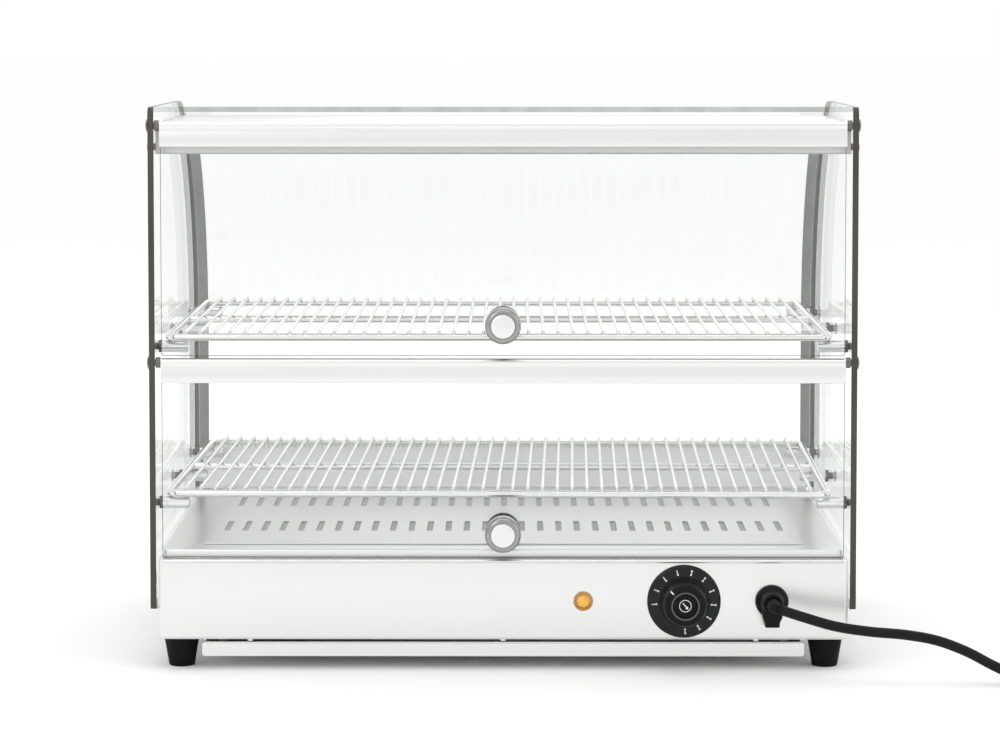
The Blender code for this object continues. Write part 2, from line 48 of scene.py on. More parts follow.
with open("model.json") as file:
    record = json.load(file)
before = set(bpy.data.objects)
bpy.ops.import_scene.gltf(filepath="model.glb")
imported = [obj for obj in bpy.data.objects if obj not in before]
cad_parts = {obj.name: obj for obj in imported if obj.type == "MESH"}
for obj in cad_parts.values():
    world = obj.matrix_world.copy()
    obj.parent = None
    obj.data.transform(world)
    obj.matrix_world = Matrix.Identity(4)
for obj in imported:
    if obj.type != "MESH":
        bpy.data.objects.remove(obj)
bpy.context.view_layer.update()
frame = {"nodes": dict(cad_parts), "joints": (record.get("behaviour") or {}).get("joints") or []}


def box(node):
    """Lowest and highest corner of a frame node, as arrays."""
    low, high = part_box(node)
    return np.array(low), np.array(high)


def middle(node, keep=(1, 1, 1)):
    """Centre of a frame node's box, with zero in place of the coordinates that aren't kept."""
    low, high = box(node)
    return (low + high) / 2 * keep


FRONT = box("side_glass_left")[0][1]        # the plane of the panes' front edges
PANE = box("side_glass_right")[1][0] - box("side_glass_right")[0][0]
TRIM = 0.0022                               # thickness of a corner trim
BEND_RADIUS = 0.211                         # outer edge of a side pane, on the customer side
BEND_Y = box("side_glass_left")[1][1] - BEND_RADIUS
BEND_Z = 0.242
WALL = box("side_glass_right")[0][0]        # inner face of a side pane
JOINTS = {joint["name"]: joint for joint in frame["joints"]}
LEVELS = ("upper", "lower")
SLOT_COUNT = 31
SLOT_LENGTH = 0.053
SLOT_ROWS = (FRONT + 0.0970, FRONT + 0.2370)
SIDES = (("left", -1), ("right", 1))


# ---------------------------------------------------------------- settings

def length(name, description, default, low, high):
    """Length property with its limits."""
    return bpy.props.FloatProperty(
        name=name, description=description, default=default, min=low, max=high, unit="LENGTH")


def colour(name, description, value):
    """Colour property with a default."""
    return bpy.props.FloatVectorProperty(
        name=name, description=description, subtype="COLOR", size=3, min=0, max=1, default=value)


class CaseSizes(bpy.types.PropertyGroup):
    """Sizes of the fine detail."""
    cross_wire: length("Cross wire", "Diameter of the racks' cross wires", 0.0028, 0.001, 0.006)
    frame_wire: length("Frame wire", "Diameter of the racks' frame wire", 0.006, 0.003, 0.010)
    cross_count: bpy.props.IntProperty(
        name="Cross wires", description="Wires across each rack", default=43, min=2, max=80)
    cross_pitch: length("Wire pitch", "From one cross wire to the next", 0.01173, 0.004, 0.05)
    slot_pitch: length("Slot pitch", "From one slot of the deck plate to the next", 0.015, 0.008, 0.05)
    slot_width: length("Slot width", "Width of a slot in the deck plate", 0.0047, 0.001, 0.01)
    edge_round: length("Edge rounding", "Width of the rounding on sheet and pane edges",
                       0.0005, 0.0001, 0.002)
    lead_diameter: length("Lead", "Diameter of the mains lead", 0.008, 0.004, 0.012)


class CaseColours(bpy.types.PropertyGroup):
    """Base colours of the finishes."""
    steel: colour("Steel", "Brushed stainless sheet", (0.80, 0.80, 0.795))
    wire: colour("Wire", "Plated rack wire", (0.79, 0.79, 0.785))
    pane: colour("Pane", "Tint of light through a pane", (0.994, 0.997, 0.995))
    pane_edge: colour("Pane edge", "Polished edge of a pane", (0.060, 0.058, 0.047))
    trim: colour("Trim", "Corner trims", (0.27, 0.27, 0.272))
    plastic: colour("Plastic", "Black moulded plastic", (0.006, 0.006, 0.0065))
    amber: colour("Amber", "Lamp lens", (0.95, 0.42, 0.02))


class StageSettings(bpy.types.PropertyGroup):
    """Camera and light."""
    distance: length("Distance", "From the camera to the panes' front edges", 2.62, 0.5, 20)
    eye_height: length("Eye height", "Height of the camera over the floor", 0.5087, 0, 5)
    lens: bpy.props.FloatProperty(
        name="Lens", description="Focal length", default=121.25, min=20, max=400, unit="CAMERA")
    daylight: bpy.props.FloatProperty(
        name="Daylight", description="Strength of the even light all round", default=1.0, min=0, max=5)


# ---------------------------------------------------------------- shader maths

class Value:
    """Output of a shader node. Python's operators on it make Math nodes."""

    def __init__(self, tree, socket):
        self.tree = tree
        self.socket = socket

    def maths(self, operation, first, second):
        node = self.tree.nodes.new("ShaderNodeMath")
        node.operation = operation
        feed(self.tree, node.inputs[0], first)
        feed(self.tree, node.inputs[1], second)
        return Value(self.tree, node.outputs[0])

    def __add__(self, other):
        return self.maths("ADD", self, other)

    def __mul__(self, other):
        return self.maths("MULTIPLY", self, other)

    def __pow__(self, other):
        return self.maths("POWER", self, other)

    __radd__ = __add__
    __rmul__ = __mul__


def feed(tree, socket, given):
    """Links a Value to a socket, or sets a plain number or colour on it."""
    if isinstance(given, Value):
        tree.links.new(given.socket, socket)
    elif isinstance(socket.default_value, float) or isinstance(given, (int, float)):
        socket.default_value = given
    else:
        socket.default_value = (*given, 1.0) if len(given) < len(socket.default_value) else tuple(given)


class Finish:
    """Nodes of a material under construction."""

    def __init__(self, name):
        self.material = bpy.data.materials.new(name)
        self.material.use_nodes = True
        self.tree = self.material.node_tree
        self.tree.nodes.clear()

    def node(self, kind, settings=None, sockets=None, output=0):
        """Node of a kind: its settings come first, then the values or links of its sockets."""
        node = self.tree.nodes.new("ShaderNode" + kind)
        for name, value in (settings or {}).items():
            setattr(node, name, value)
        for name, value in (sockets or {}).items():
            feed(self.tree, node.inputs[name], value)
        return Value(self.tree, node.outputs[output])

    def noise(self, scale, stretch=(1, 1, 1), detail=3.0):
        """Noise from 0 to 1 on object coordinates, stretched per axis."""
        place = self.node("TexCoord", output=3)
        place = self.node("Mapping", None, {"Vector": place, "Scale": stretch})
        return self.node("TexNoise", None, {"Vector": place, "Scale": scale, "Detail": detail})

    def blend(self, factor, low, high):
        """Colour from low to high."""
        return self.node("Mix", {"data_type": "RGBA"}, {0: factor, 6: low, 7: high}, output=2)

    def bump(self, height, distance, strength=1.0):
        return self.node("Bump", None, {"Height": height, "Distance": distance, "Strength": strength})

    def surface(self, **sockets):
        """Principled shader; socket names have underscores for spaces."""
        return self.node("BsdfPrincipled", None, {name.replace("_", " "): v for name, v in sockets.items()})

    def done(self, shader):
        output = self.tree.nodes.new("ShaderNodeOutputMaterial")
        self.tree.links.new(shader.socket, output.inputs["Surface"])
        return self.material


def shade(tone, factor):
    """A colour made lighter or darker."""
    return tuple(min(1.0, c * factor) for c in tone)


def brushed(name, tone, grain, roughness=0.30):
    """Sheet brushed along one direction: long thin streaks in tone, gloss and height, over faint smears."""
    made = Finish(name)
    streak = made.noise(1.0, grain, 4.0)
    smear = made.noise(7.0, (1, 1, 1), 2.0)
    return made.done(made.surface(
        Base_Color=made.blend(streak * 0.7 + smear * 0.3, shade(tone, 0.965), shade(tone, 1.025)),
        Metallic=1.0,
        Roughness=streak * 0.08 + smear * 0.06 + (roughness - 0.07),
        Normal=made.bump(streak, 0.00003, 0.15)))


def plated(name, tone, roughness=0.16):
    """Bright plating with faint cloudiness."""
    made = Finish(name)
    cloud = made.noise(90.0)
    return made.done(made.surface(
        Base_Color=made.blend(cloud, shade(tone, 0.90), shade(tone, 1.08)), Metallic=1.0,
        Roughness=cloud * 0.12 + (roughness - 0.06), Normal=made.bump(cloud, 0.00005, 0.2)))


def moulded(name, tone, roughness=0.42, grain=900.0, coat=0.0):
    """Moulded plastic or rubber with fine spark-eroded grain."""
    made = Finish(name)
    fine, broad = made.noise(grain, detail=2.0), made.noise(30.0)
    return made.done(made.surface(
        Base_Color=made.blend(broad, shade(tone, 0.8), shade(tone, 1.25)),
        Roughness=broad * 0.14 + fine * 0.10 + (roughness - 0.12), Specular_IOR_Level=0.13,
        Coat_Weight=coat, Normal=made.bump(fine, 0.00004, 0.4)))


def clear_pane(name, tint):
    """Thin clear glass: light passes straight through, and each face reflects more at a slant, by the
    fifth power of how far it is turned away."""
    made = Finish(name)
    through = made.node("BsdfTransparent", None, {"Color": tint})
    gloss = made.node("BsdfAnisotropic", None, {"Color": (1, 1, 1), "Roughness": 0.01})
    away = made.node("LayerWeight", None, {"Blend": 0.5}, output=1)
    return made.done(made.node("MixShader", None, {0: away ** 5 * 0.55 + 0.03, 1: through, 2: gloss}))


def pane_edge(name, tone):
    """Ground and polished edge of a pane, with some depth in its tone."""
    made = Finish(name)
    depth = made.noise(60.0, (1, 1, 0.2))
    return made.done(made.surface(
        Base_Color=made.blend(depth, shade(tone, 0.75), shade(tone, 1.35)), Roughness=depth * 0.15 + 0.14,
        Specular_IOR_Level=0.2))


def amber_glow(name, tone):
    """Amber lens lit faintly from inside: brighter in the middle of each facet."""
    made = Finish(name)
    facets = made.node("TexVoronoi", None, {"Vector": made.node("TexCoord", output=3), "Scale": 620.0})
    hot = made.blend(facets, (0.95, 0.50, 0.03), shade(tone, 0.60))
    return made.done(made.surface(
        Base_Color=hot, Roughness=0.16, Emission_Color=hot, Emission_Strength=0.22, Coat_Weight=0.6,
        Normal=made.bump(facets, 0.0004, 0.5)))


def amber_plastic(name, tone):
    """Translucent amber collar, darker where it is thick."""
    made = Finish(name)
    cloud = made.noise(260.0)
    return made.done(made.surface(
        Base_Color=made.blend(cloud, shade(tone, 0.30), shade(tone, 0.60)), Roughness=cloud * 0.1 + 0.15,
        Emission_Color=shade(tone, 0.5), Emission_Strength=0.02, Coat_Weight=0.6))


ACROSS, DEEP = (3, 1600, 1600), (1600, 3, 1600)     # directions of the brushing
FINISHES = {}


def finish(name):
    """A finish, made when it is first asked for, and the frame's slot that it belongs to."""
    if name in FINISHES:
        return FINISHES[name]
    tones = bpy.context.scene.case_colours
    slot, material, maker, *how = {
        "steel_across": ("brushed_stainless", "steel_across", brushed, tones.steel, ACROSS),
        "steel_deep": ("brushed_stainless", "steel_deep", brushed, tones.steel, DEEP, 0.34),
        # steel darkened to 0.72 as painted shade for the recessed roof channel behind the door bar
        "steel_shaded": ("brushed_stainless", "steel_shaded", brushed, shade(tones.steel, 0.72), ACROSS, 0.4),
        "dull_sheet": ("brushed_stainless", "dull_sheet", brushed, (0.62, 0.62, 0.61), (3, 900, 900), 0.75),
        "steel_round": ("brushed_stainless", "steel_round", plated, shade(tones.steel, 0.95), 0.24),
        "wire": ("bright_wire", "bright_wire", plated, tones.wire, 0.20),
        "knob_ring": ("knob_metal", "knob_ring", plated, (0.34, 0.34, 0.335), 0.16),
        "knob_face": ("knob_metal", "knob_face", brushed, (0.80, 0.80, 0.79), (500, 500, 500), 0.36),
        "dull_metal": ("plated_metal", "dull_metal", plated, (0.42, 0.41, 0.38), 0.42),
        "pane": ("clear_glass", "clear_pane", clear_pane, tones.pane),
        "pane_edge": ("clear_glass", "pane_edge", pane_edge, tones.pane_edge),
        "pale_edge": ("clear_glass", "pale_edge", pane_edge, (0.46, 0.47, 0.465)),
        "trim": ("grey_trim", "corner_trim", moulded, tones.trim, 0.46),
        "plastic": ("black_plastic", "black_plastic", moulded, tones.plastic, 0.40),
        "grey_plastic": ("black_plastic", "grey_plastic", moulded, (0.10, 0.10, 0.10), 0.35, 600.0),
        "gloss_plastic": ("black_plastic", "gloss_plastic", moulded, tones.plastic, 0.24, 300.0, 0.3),
        "rubber": ("black_rubber", "black_rubber", moulded, shade(tones.plastic, 0.8), 0.62, 500.0),
        "sheath": ("lead_sheath", "lead_sheath", moulded, shade(tones.plastic, 1.5), 0.48, 700.0),
        "print": ("black_plastic", "white_print", moulded, (0.82, 0.82, 0.81), 0.5, 600.0),
        "amber": ("amber_lens", "amber_lens", amber_glow, tones.amber),
        "amber_collar": ("amber_lens", "amber_collar", amber_plastic, tones.amber),
        "dark_bolt": ("dark_bolt", "dark_bolt", plated, (0.17, 0.16, 0.15), 0.26),
        "brass": ("plated_metal", "plated_pins", plated, (0.72, 0.70, 0.64), 0.22),
    }[name]
    FINISHES[name] = (maker(material, *how), slot)
    return FINISHES[name]


# ---------------------------------------------------------------- surfaces

def quads(rows, columns, around=True, along=False):
    """Faces of a grid of points, closed round its columns, along its rows, or both."""
    index = np.arange(rows * columns).reshape(rows, columns)
    if around:
        index = np.concatenate((index, index[:, :1]), 1)
    if along:
        index = np.concatenate((index, index[:1]), 0)
    return np.stack((index[:-1, :-1], index[:-1, 1:], index[1:, 1:], index[1:, :-1]), -1).reshape(-1, 4)


def arc(centre, radius, start, end, steps):
    """Points on a circle in a plane, from one angle to another in degrees."""
    turn = np.radians(np.linspace(start, end, steps + 1))
    return np.stack((centre[0] + radius * np.cos(turn), centre[1] + radius * np.sin(turn)), -1)


def rounded_rectangle(low, high, radius, steps=6):
    """Outline with a quarter circle at each corner, counter-clockwise."""
    (x0, y0), (x1, y1) = low, high
    centres = ((x1 - radius, y0 + radius), (x1 - radius, y1 - radius), (x0 + radius, y1 - radius),
               (x0 + radius, y0 + radius))
    return np.concatenate([arc(centre, radius, start, start + 90, steps)
                           for centre, start in zip(centres, (-90, 0, 90, 180))])


AXES = {"X": (1, 2, 0), "Y": (0, 2, 1), "Z": (0, 1, 2)}


def placed(flat, along, axis):
    """Flat (u, v) points and a distance along the axis, put into space."""
    u, v, w = AXES[axis]
    made = np.zeros((*flat.shape[:-1], 3))
    made[..., u], made[..., v], made[..., w] = flat[..., 0], flat[..., 1], along
    return made


def hoops(ahead, sides):
    """Unit circles square to each direction along a path: cosine to the side and sine upwards."""
    ahead = ahead / np.linalg.norm(ahead, axis=1, keepdims=True)
    side = np.cross(ahead, (0, 0, 1))
    side /= np.linalg.norm(side, axis=1, keepdims=True)
    over = np.cross(side, ahead)
    turn = np.linspace(0, 2 * pi, sides, endpoint=False)
    return np.cos(turn)[None, :, None] * side[:, None] + np.sin(turn)[None, :, None] * over[:, None]


def linked(name, data):
    """Object in the scene, at the origin."""
    made = bpy.data.objects.new(name, data)
    bpy.context.scene.collection.objects.link(made)
    return made


class Skin:
    """Surfaces gathered into one mesh. A finish is a number into the piece's list of materials."""

    def __init__(self):
        self.points, self.faces, self.finishes = [], [], []
        self.count = 0

    def add(self, points, faces, number=0):
        points = np.asarray(points, float).reshape(-1, 3)
        self.points.append(points)
        shifted = np.asarray(faces) + self.count
        self.faces += shifted.tolist()
        self.finishes += [number] * len(shifted)
        self.count += len(points)

    def loops(self, rings, closed=False, number=0, cap_number=None):
        """Skin over a stack of rings: closed into a loop, or capped at its two ends."""
        rows, columns = rings.shape[:2]
        start = self.count
        self.add(rings, quads(rows, columns, along=closed), number)
        if not closed:
            first = start + np.arange(columns)
            last = start + (rows - 1) * columns + np.arange(columns)
            self.faces += [first[::-1].tolist(), last.tolist()]
            self.finishes += [number if cap_number is None else cap_number] * 2

    def prism(self, outline, axis, low, high, number=0, cap_number=None):
        """A flat outline carried straight along an axis."""
        outline = np.asarray(outline, float)
        self.loops(np.stack([placed(outline, d, axis) for d in (low, high)]), False, number, cap_number)

    def turned(self, profile, axis, at, sides=48, closed=False, number=0):
        """A profile of (radius, distance) turned round an axis: each point runs on its own circle."""
        profile = np.asarray(profile, float)
        turn = np.linspace(0, 2 * pi, sides, endpoint=False)
        u, v, w = AXES[axis]
        made = np.zeros((len(profile), sides, 3))
        made[..., u] = at[u] + profile[:, :1] * np.cos(turn)
        made[..., v] = at[v] + profile[:, :1] * np.sin(turn)
        made[..., w] = at[w] + profile[:, 1:]
        self.add(made, quads(len(profile), sides, along=closed), number)

    def tube(self, path, radius, sides=12, closed=False):
        """Round wire along a path: circles square to it, with half-round ends where it is open."""
        path = np.asarray(path, float)
        if closed:
            ahead = np.roll(path, -1, 0) - np.roll(path, 1, 0)
            widths = np.full(len(path), radius)
        else:
            ahead = np.gradient(path, axis=0)
            lean = np.radians([0, 30, 60, 90])
            first, last = ahead[0] / np.linalg.norm(ahead[0]), ahead[-1] / np.linalg.norm(ahead[-1])
            before = path[0] + first * radius * (1 - np.cos(lean))[:, None]
            after = path[-1] - last * radius * (1 - np.cos(lean))[::-1, None]
            path = np.concatenate((before, path[1:-1], after))
            ahead = np.concatenate((np.repeat([first], 4, 0), ahead[1:-1], np.repeat([last], 4, 0)))
            widths = np.concatenate((radius * np.sin(lean), np.full(len(path) - 8, radius),
                                     radius * np.sin(lean)[::-1]))
        made = path[:, None] + hoops(ahead, sides) * widths[:, None, None]
        self.add(made, quads(len(path), sides, along=closed))

    def piece(self, name, finishes, body="case", replaces=(), slot=None, edge=0.0, angle=35.0):
        """Object at the origin that rides on a body and stands for its frame nodes. Finishes are one name
        or a list of them, and the slot is the first one's unless another is given."""
        finishes = [finishes] if isinstance(finishes, str) else finishes
        mesh = bpy.data.meshes.new(name)
        mesh.from_pydata(np.concatenate(self.points).tolist(), [], self.faces)
        mesh.polygons.foreach_set("material_index", self.finishes)
        shape = bmesh.new()
        shape.from_mesh(mesh)
        bmesh.ops.remove_doubles(shape, verts=shape.verts, dist=1e-6)
        bmesh.ops.dissolve_degenerate(shape, edges=shape.edges, dist=1e-7)
        bmesh.ops.recalc_face_normals(shape, faces=shape.faces)
        shape.to_mesh(mesh)
        shape.free()
        mesh.shade_smooth()
        mesh.set_sharp_from_angle(angle=radians(angle))
        for name_of_finish in finishes:
            mesh.materials.append(finish(name_of_finish)[0])
        made = linked(name, mesh)
        if edge:
            rounding = made.modifiers.new("rounded_edges", "BEVEL")
            rounding.width = edge
            rounding.segments = 2
            rounding.limit_method = "ANGLE"
            rounding.angle_limit = radians(angle)
            rounding.harden_normals = True
        return settle(made, body, replaces, slot or finish(finishes[0])[1])


def settle(made, body, replaces, slot):
    """Puts a finished object on its body, in place of one frame node or a list of them."""
    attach(made, body)
    if replaces:
        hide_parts(*([replaces] if isinstance(replaces, str) else replaces))
    return made


def dress(node, name_of_finish):
    """Gives a frame node that keeps its shape one of the finishes."""
    mesh = frame["nodes"][node].data
    mesh.materials.clear()
    mesh.materials.append(finish(name_of_finish)[0])


# ---------------------------------------------------------------- stage

CAMERA_SHIFT = -0.12
LEVEL_DROP = 0.3425             # how far below a level line of sight the case is framed, in frame widths
LEVEL_ASIDE = 0.015             # the same sideways
EYE_ASIDE = 0.0093
FLOOR_REACH = 40.0
LIT_POINT = np.array((0.0, 0.0, 0.2))


def make_stage(settings):
    """Camera at the operator's side, a pale floor and light from large soft panels."""
    camera = bpy.data.cameras.new("camera")
    camera.lens = settings.lens
    camera.sensor_width = 36.0
    camera.shift_y = CAMERA_SHIFT
    eye = linked("camera", camera)
    eye.location = (EYE_ASIDE, FRONT - settings.distance, settings.eye_height)
    reach = settings.lens / camera.sensor_width
    eye.rotation_euler = (pi / 2 - atan((LEVEL_DROP + CAMERA_SHIFT) / reach), 0, atan(LEVEL_ASIDE / reach))
    bpy.context.scene.camera = eye
    bpy.context.scene.view_settings.view_transform = "Standard"

    world = bpy.data.worlds.new("even_light")
    world.use_nodes = True
    sky = world.node_tree.nodes["Background"].inputs
    sky["Color"].default_value = (1, 1, 1, 1)
    sky["Strength"].default_value = settings.daylight
    bpy.context.scene.world = world

    mesh = bpy.data.meshes.new("floor")
    corners = [(x * FLOOR_REACH, y * FLOOR_REACH, 0) for x, y in ((-1, -1), (1, -1), (1, 1), (-1, 1))]
    mesh.from_pydata(corners, [], [(0, 1, 2, 3)])
    pale = Finish("pale_floor")
    grain = pale.noise(40.0)
    mesh.materials.append(pale.done(pale.surface(
        Base_Color=pale.blend(grain, (0.978, 0.978, 0.978), (0.990, 0.990, 0.990)), Roughness=0.9)))
    linked("floor", mesh)

    for name, place, size, power in (("light_over", (0.0, -0.3, 2.4), 2.2, 11.0),
                                     ("light_left", (-1.2, -2.2, 1.5), 1.0, 6.0),
                                     ("light_right", (2.2, -1.4, 1.1), 1.4, 4.0),
                                     ("light_rear", (0.5, 2.4, 1.5), 1.8, 4.0)):
        lamp = bpy.data.lights.new(name, "AREA")
        lamp.size = size
        lamp.energy = power
        panel = linked(name, lamp)
        panel.location = place
        aim = LIT_POINT - place
        panel.rotation_euler = (atan(np.hypot(aim[0], aim[1]) / -aim[2]), 0, -np.arctan2(aim[0], aim[1]))


# ---------------------------------------------------------------- mains lead

GLAND = np.array((0.211, FRONT, 0.0555))
MOUTH = FRONT - 0.0145
COIL_CENTRE = np.array((0.474, FRONT - 0.008))
LEAD_ROUTE = [
    (GLAND[0], MOUTH, GLAND[2] - 0.001), (GLAND[0] + 0.001, MOUTH - 0.010, GLAND[2] - 0.001),
    (GLAND[0] + 0.007, MOUTH - 0.022, GLAND[2] - 0.0014), (GLAND[0] + 0.021, MOUTH - 0.033, 0.0512),
    (0.256, FRONT - 0.0535, 0.0452), (0.282, FRONT - 0.0570, 0.0418), (0.309, FRONT - 0.0580, 0.0396),
    (0.334, FRONT - 0.0580, 0.0350), (0.357, FRONT - 0.0575, 0.0262), (0.377, FRONT - 0.0570, 0.0156),
    (0.395, FRONT - 0.0565, 0.0080), (0.415, FRONT - 0.0562, 0.0044), (0.4445, FRONT - 0.0560, 0.0040),
]
TURNS = [(0.048, 0.004), (0.040, 0.004), (0.040, 0.012), (0.048, 0.012), (0.048, 0.020)]
CHANGES = [(98.0, 0.0), (62.0, 98.0), (98.0, 160.0), (62.0, 258.0)]
PLUG_FRONT = FRONT + 0.068


def smooth_route(points, spacing):
    """Catmull-Rom curve through the points: each stretch leaves and arrives along its neighbours' chord."""
    points = np.asarray(points, float)
    ends = np.concatenate(([2 * points[0] - points[1]], points, [2 * points[-1] - points[-2]]))
    made = [points[:1]]
    for a, b, c, d in zip(ends, ends[1:], ends[2:], ends[3:]):
        count = max(2, round(float(np.linalg.norm(c - b)) / spacing))
        t = (np.arange(1, count + 1) / count)[:, None]
        made.append((2 * b + (c - a) * t + (2 * a - 5 * b + 4 * c - d) * t**2
                     + (3 * b - a - 3 * c + d) * t**3) / 2)
    return np.concatenate(made)


def coil(steps=48):
    """Turns of the stored lead. Near the end of each turn it eases over to the next turn's radius or
    height, each turn a little earlier than the one before it, so that no two strands meet."""
    turn = np.arange(4 * steps + steps // 4 + 1) / steps
    state = np.repeat([TURNS[0]], len(turn), 0).astype(float)
    for k, (width, lead) in enumerate(CHANGES):
        start = k + 1 - (width + lead) / 360
        t = np.clip((turn - start) / (width / 360), 0, 1)[:, None]
        state += (t * t * (3 - 2 * t)) * (np.array(TURNS[k + 1]) - TURNS[k])
    angle = 2 * pi * turn - pi / 2
    return np.stack((COIL_CENTRE[0] + state[:, 0] * np.cos(angle),
                     COIL_CENTRE[1] + state[:, 0] * np.sin(angle), state[:, 1]), -1)


def make_lead(sizes):
    """The lead from gland to plug, as one line: route, stored turns and tail."""
    wound = coil()
    away = wound[-1]
    tail = [away + (0, 0.014, -0.0008), away + (0, 0.032, -0.0036), away + (0, 0.050, -0.0042),
            (away[0], PLUG_FRONT - 0.006, 0.0176), (away[0], PLUG_FRONT + 0.004, 0.018)]
    line = np.concatenate((smooth_route(LEAD_ROUTE, 0.006), wound, smooth_route([away, *tail], 0.006)[1:]))
    curve = bpy.data.curves.new("mains_lead", "CURVE")
    curve.dimensions = "3D"
    curve.bevel_depth = sizes.lead_diameter / 2
    curve.bevel_resolution = 4
    curve.use_fill_caps = True
    spline = curve.splines.new("POLY")
    spline.points.add(len(line) - 1)
    spline.points.foreach_set("co", np.concatenate((line, np.ones((len(line), 1))), 1).ravel())
    spline.use_smooth = True
    sheath, slot = finish("sheath")
    curve.materials.append(sheath)
    lead = settle(linked("mains_lead", curve), "case", ["power_lead", "lead_coil"], slot)

    relief = Skin()
    route = smooth_route(LEAD_ROUTE[:5], 0.002)[:12]
    sides, bore = 28, 0.00402
    ring = hoops(np.gradient(route, axis=0), sides)
    outer = 0.0054 - 0.00125 * np.linspace(0, 1, len(route))
    wall = np.concatenate((route[:, None] + ring * outer[:, None, None],
                           route[::-1, None] + ring[::-1] * bore))
    relief.add(wall, quads(2 * len(route), sides, along=True))
    sleeve = relief.piece("strain_relief", "rubber")

    plug = make_plug(away[0])
    ties = make_ties()


def make_plug(x):
    """Two-pin plug: a waisted round body that grows wider away from the lead, with a ribbed neck."""
    axis = (x, PLUG_FRONT, 0.018)
    body = Skin()
    steps = np.linspace(0, 1, 40)
    swell = steps * steps * (3 - 2 * steps)
    reach = np.concatenate((steps * 0.040, np.linspace(0.0405, 0.057, 14), [0.058, 0.0583, 0.0583]))
    wide = np.concatenate((0.0056 + 0.0124 * swell, np.full(14, 0.018), [0.0174, 0.0160, 0.0]))
    ribs = np.where((reach < 0.022) & (np.arange(len(reach)) % 3 == 1), -0.0006, 0.0)
    body.turned([(0, 0), *np.stack((wide + ribs, reach), -1)], "Y", axis, 48)
    for side in (-0.0095, 0.0095):
        pin = [(0, 0.056), (0.0024, 0.056), (0.0024, 0.0755), (0.0018, 0.0768), (0, 0.0770)]
        body.turned(pin, "Y", (x + side, axis[1], axis[2]), 20, number=1)
    return body.piece("plug", ["plastic", "brass"], "case", "mains_plug", angle=40)


def make_ties():
    """Two flat ties round the stored turns: a rounded band carried about the bundle's section."""
    made = []
    for k, angle in enumerate((60.0, 205.0)):
        band = Skin()
        out = np.array((cos(radians(angle)), sin(radians(angle))))
        along = np.array((-out[1], out[0]))
        section = rounded_rectangle((0.0354, 0.0001), (0.0526, 0.0246), 0.0044, 6)
        inner = rounded_rectangle((0.0360, 0.0004), (0.0520, 0.0240), 0.0040, 6)
        rings = []
        for outline, shift in ((section, -0.002), (section, 0.002), (inner, 0.002), (inner, -0.002)):
            flat = COIL_CENTRE + outline[:, :1] * out + along * shift
            rings.append(np.concatenate((flat, outline[:, 1:]), 1))
        band.loops(np.stack(rings), closed=True)
        made.append(band.piece(f"lead_tie_{k + 1}", "gloss_plastic"))
    return made


# ---------------------------------------------------------------- base, deck and tray

def sheet_ring(skin, sections, closed=True):
    """Folded sheet round a rectangle: each section is (half width, low y, high y, corner radius, height)."""
    rings = [placed(rounded_rectangle((-half, low), (half, high), radius), z, "Z")
             for half, low, high, radius, z in sections]
    skin.loops(np.stack(rings), closed)


def make_base():
    """Stainless box with folded edges, a bead along its front, feet, screws and the inner plates."""
    low, high = box("base_shell")
    half, front, rear = high[0], low[1], high[1]
    thick, flange, fold, hem = 0.0012, 0.012, 0.0014, 0.0026

    def section(inset, z):
        return half - inset, front + inset, rear - inset, max(0.0045 - inset, 0.0008), z

    turn = np.radians(np.linspace(0, 90, 6))
    lower = [section(hem * (1 - sin(t)), low[2] + hem * (1 - cos(t))) for t in turn]
    upper = [section(fold * (1 - cos(t)), high[2] - fold * (1 - sin(t))) for t in turn]
    inside = [section(flange, high[2]), section(flange, high[2] - thick), section(thick, high[2] - thick),
              section(thick, low[2] + hem + 0.0004)]
    shell = Skin()
    sheet_ring(shell, lower + upper + inside)
    shell.piece("base_body", "steel_across", replaces="base_shell")

    bead = Skin()
    bead.tube([(x, front + 0.0004, high[2] - 0.0016) for x in np.linspace(-half + 0.004, half - 0.004, 9)],
              0.0015, 16)
    bead.piece("base_front_bead", "steel_round")

    for name_of_finish, nodes in (("steel_deep", ("bottom_plate", "tray_rail_left", "tray_rail_right")),
                                  ("dull_metal", ("thermostat_body", "thermostat_shaft")),
                                  ("plastic", ("terminal_block", "gland_nut"))):
        for node in nodes:
            dress(node, name_of_finish)

    for end in ("front", "rear"):
        for side, _ in SIDES:
            make_foot(f"foot_{end}_{side}")

    screws = Skin()
    head = [(0, -0.0018), (0.0006, -0.0018), (0.0012, -0.0024), (0.0021, -0.0020), (0.0026, -0.0006),
            (0.0026, 0), (0, 0)]
    for x in (-0.199, 0.0, 0.199):
        screws.turned(head, "Z", (x, front + 0.006, low[2]), 24)
    screws.piece("tray_rail_screws", "steel_round")

    fixings = Skin()
    outer = box("side_glass_right")[1][0]
    for _, way in SIDES:
        for y in (0.045, 0.186, 0.327):
            fixings.turned([(r, way * d) for r, d in dome(0.0052)], "X", (way * outer, FRONT + y, 0.066), 32)
    fixings.piece("pane_fixing_screws", "dark_bolt")


def dome(radius, height=0.0017):
    """Profile of a screw's button head with a round socket, from the middle outwards."""
    turn = np.linspace(1.25, 0, 7)
    head = [(radius * cos(t * 0.98), height * sin(t) / sin(1.25)) for t in turn]
    return [(0, height - 0.0010), (radius * 0.30, height - 0.0010), (radius * 0.30, height), *head,
            (radius, 0.00005), (0, 0.00005)]


def make_foot(node):
    """Tapered rubber foot with a rounded sole, a moulded rim and a recess for its bolt."""
    top = box(node)[1][2]
    foot = Skin()
    foot.turned([(0, 0.006), (0.0045, 0.006), (0.0050, 0.0004), (0.0058, 0), (0.0094, 0), (0.0101, 0.0008),
                 (0.0104, 0.0020), (0.0128, 0.0165), (0.0137, top - 0.0040), (0.0139, top - 0.0034),
                 (0.0142, top - 0.0030), (0.0142, top - 0.0004), (0.0138, top), (0, top)],
                "Z", middle(node, (1, 1, 0)), 48)
    foot.piece(f"{node}_rubber", "rubber", replaces=node)


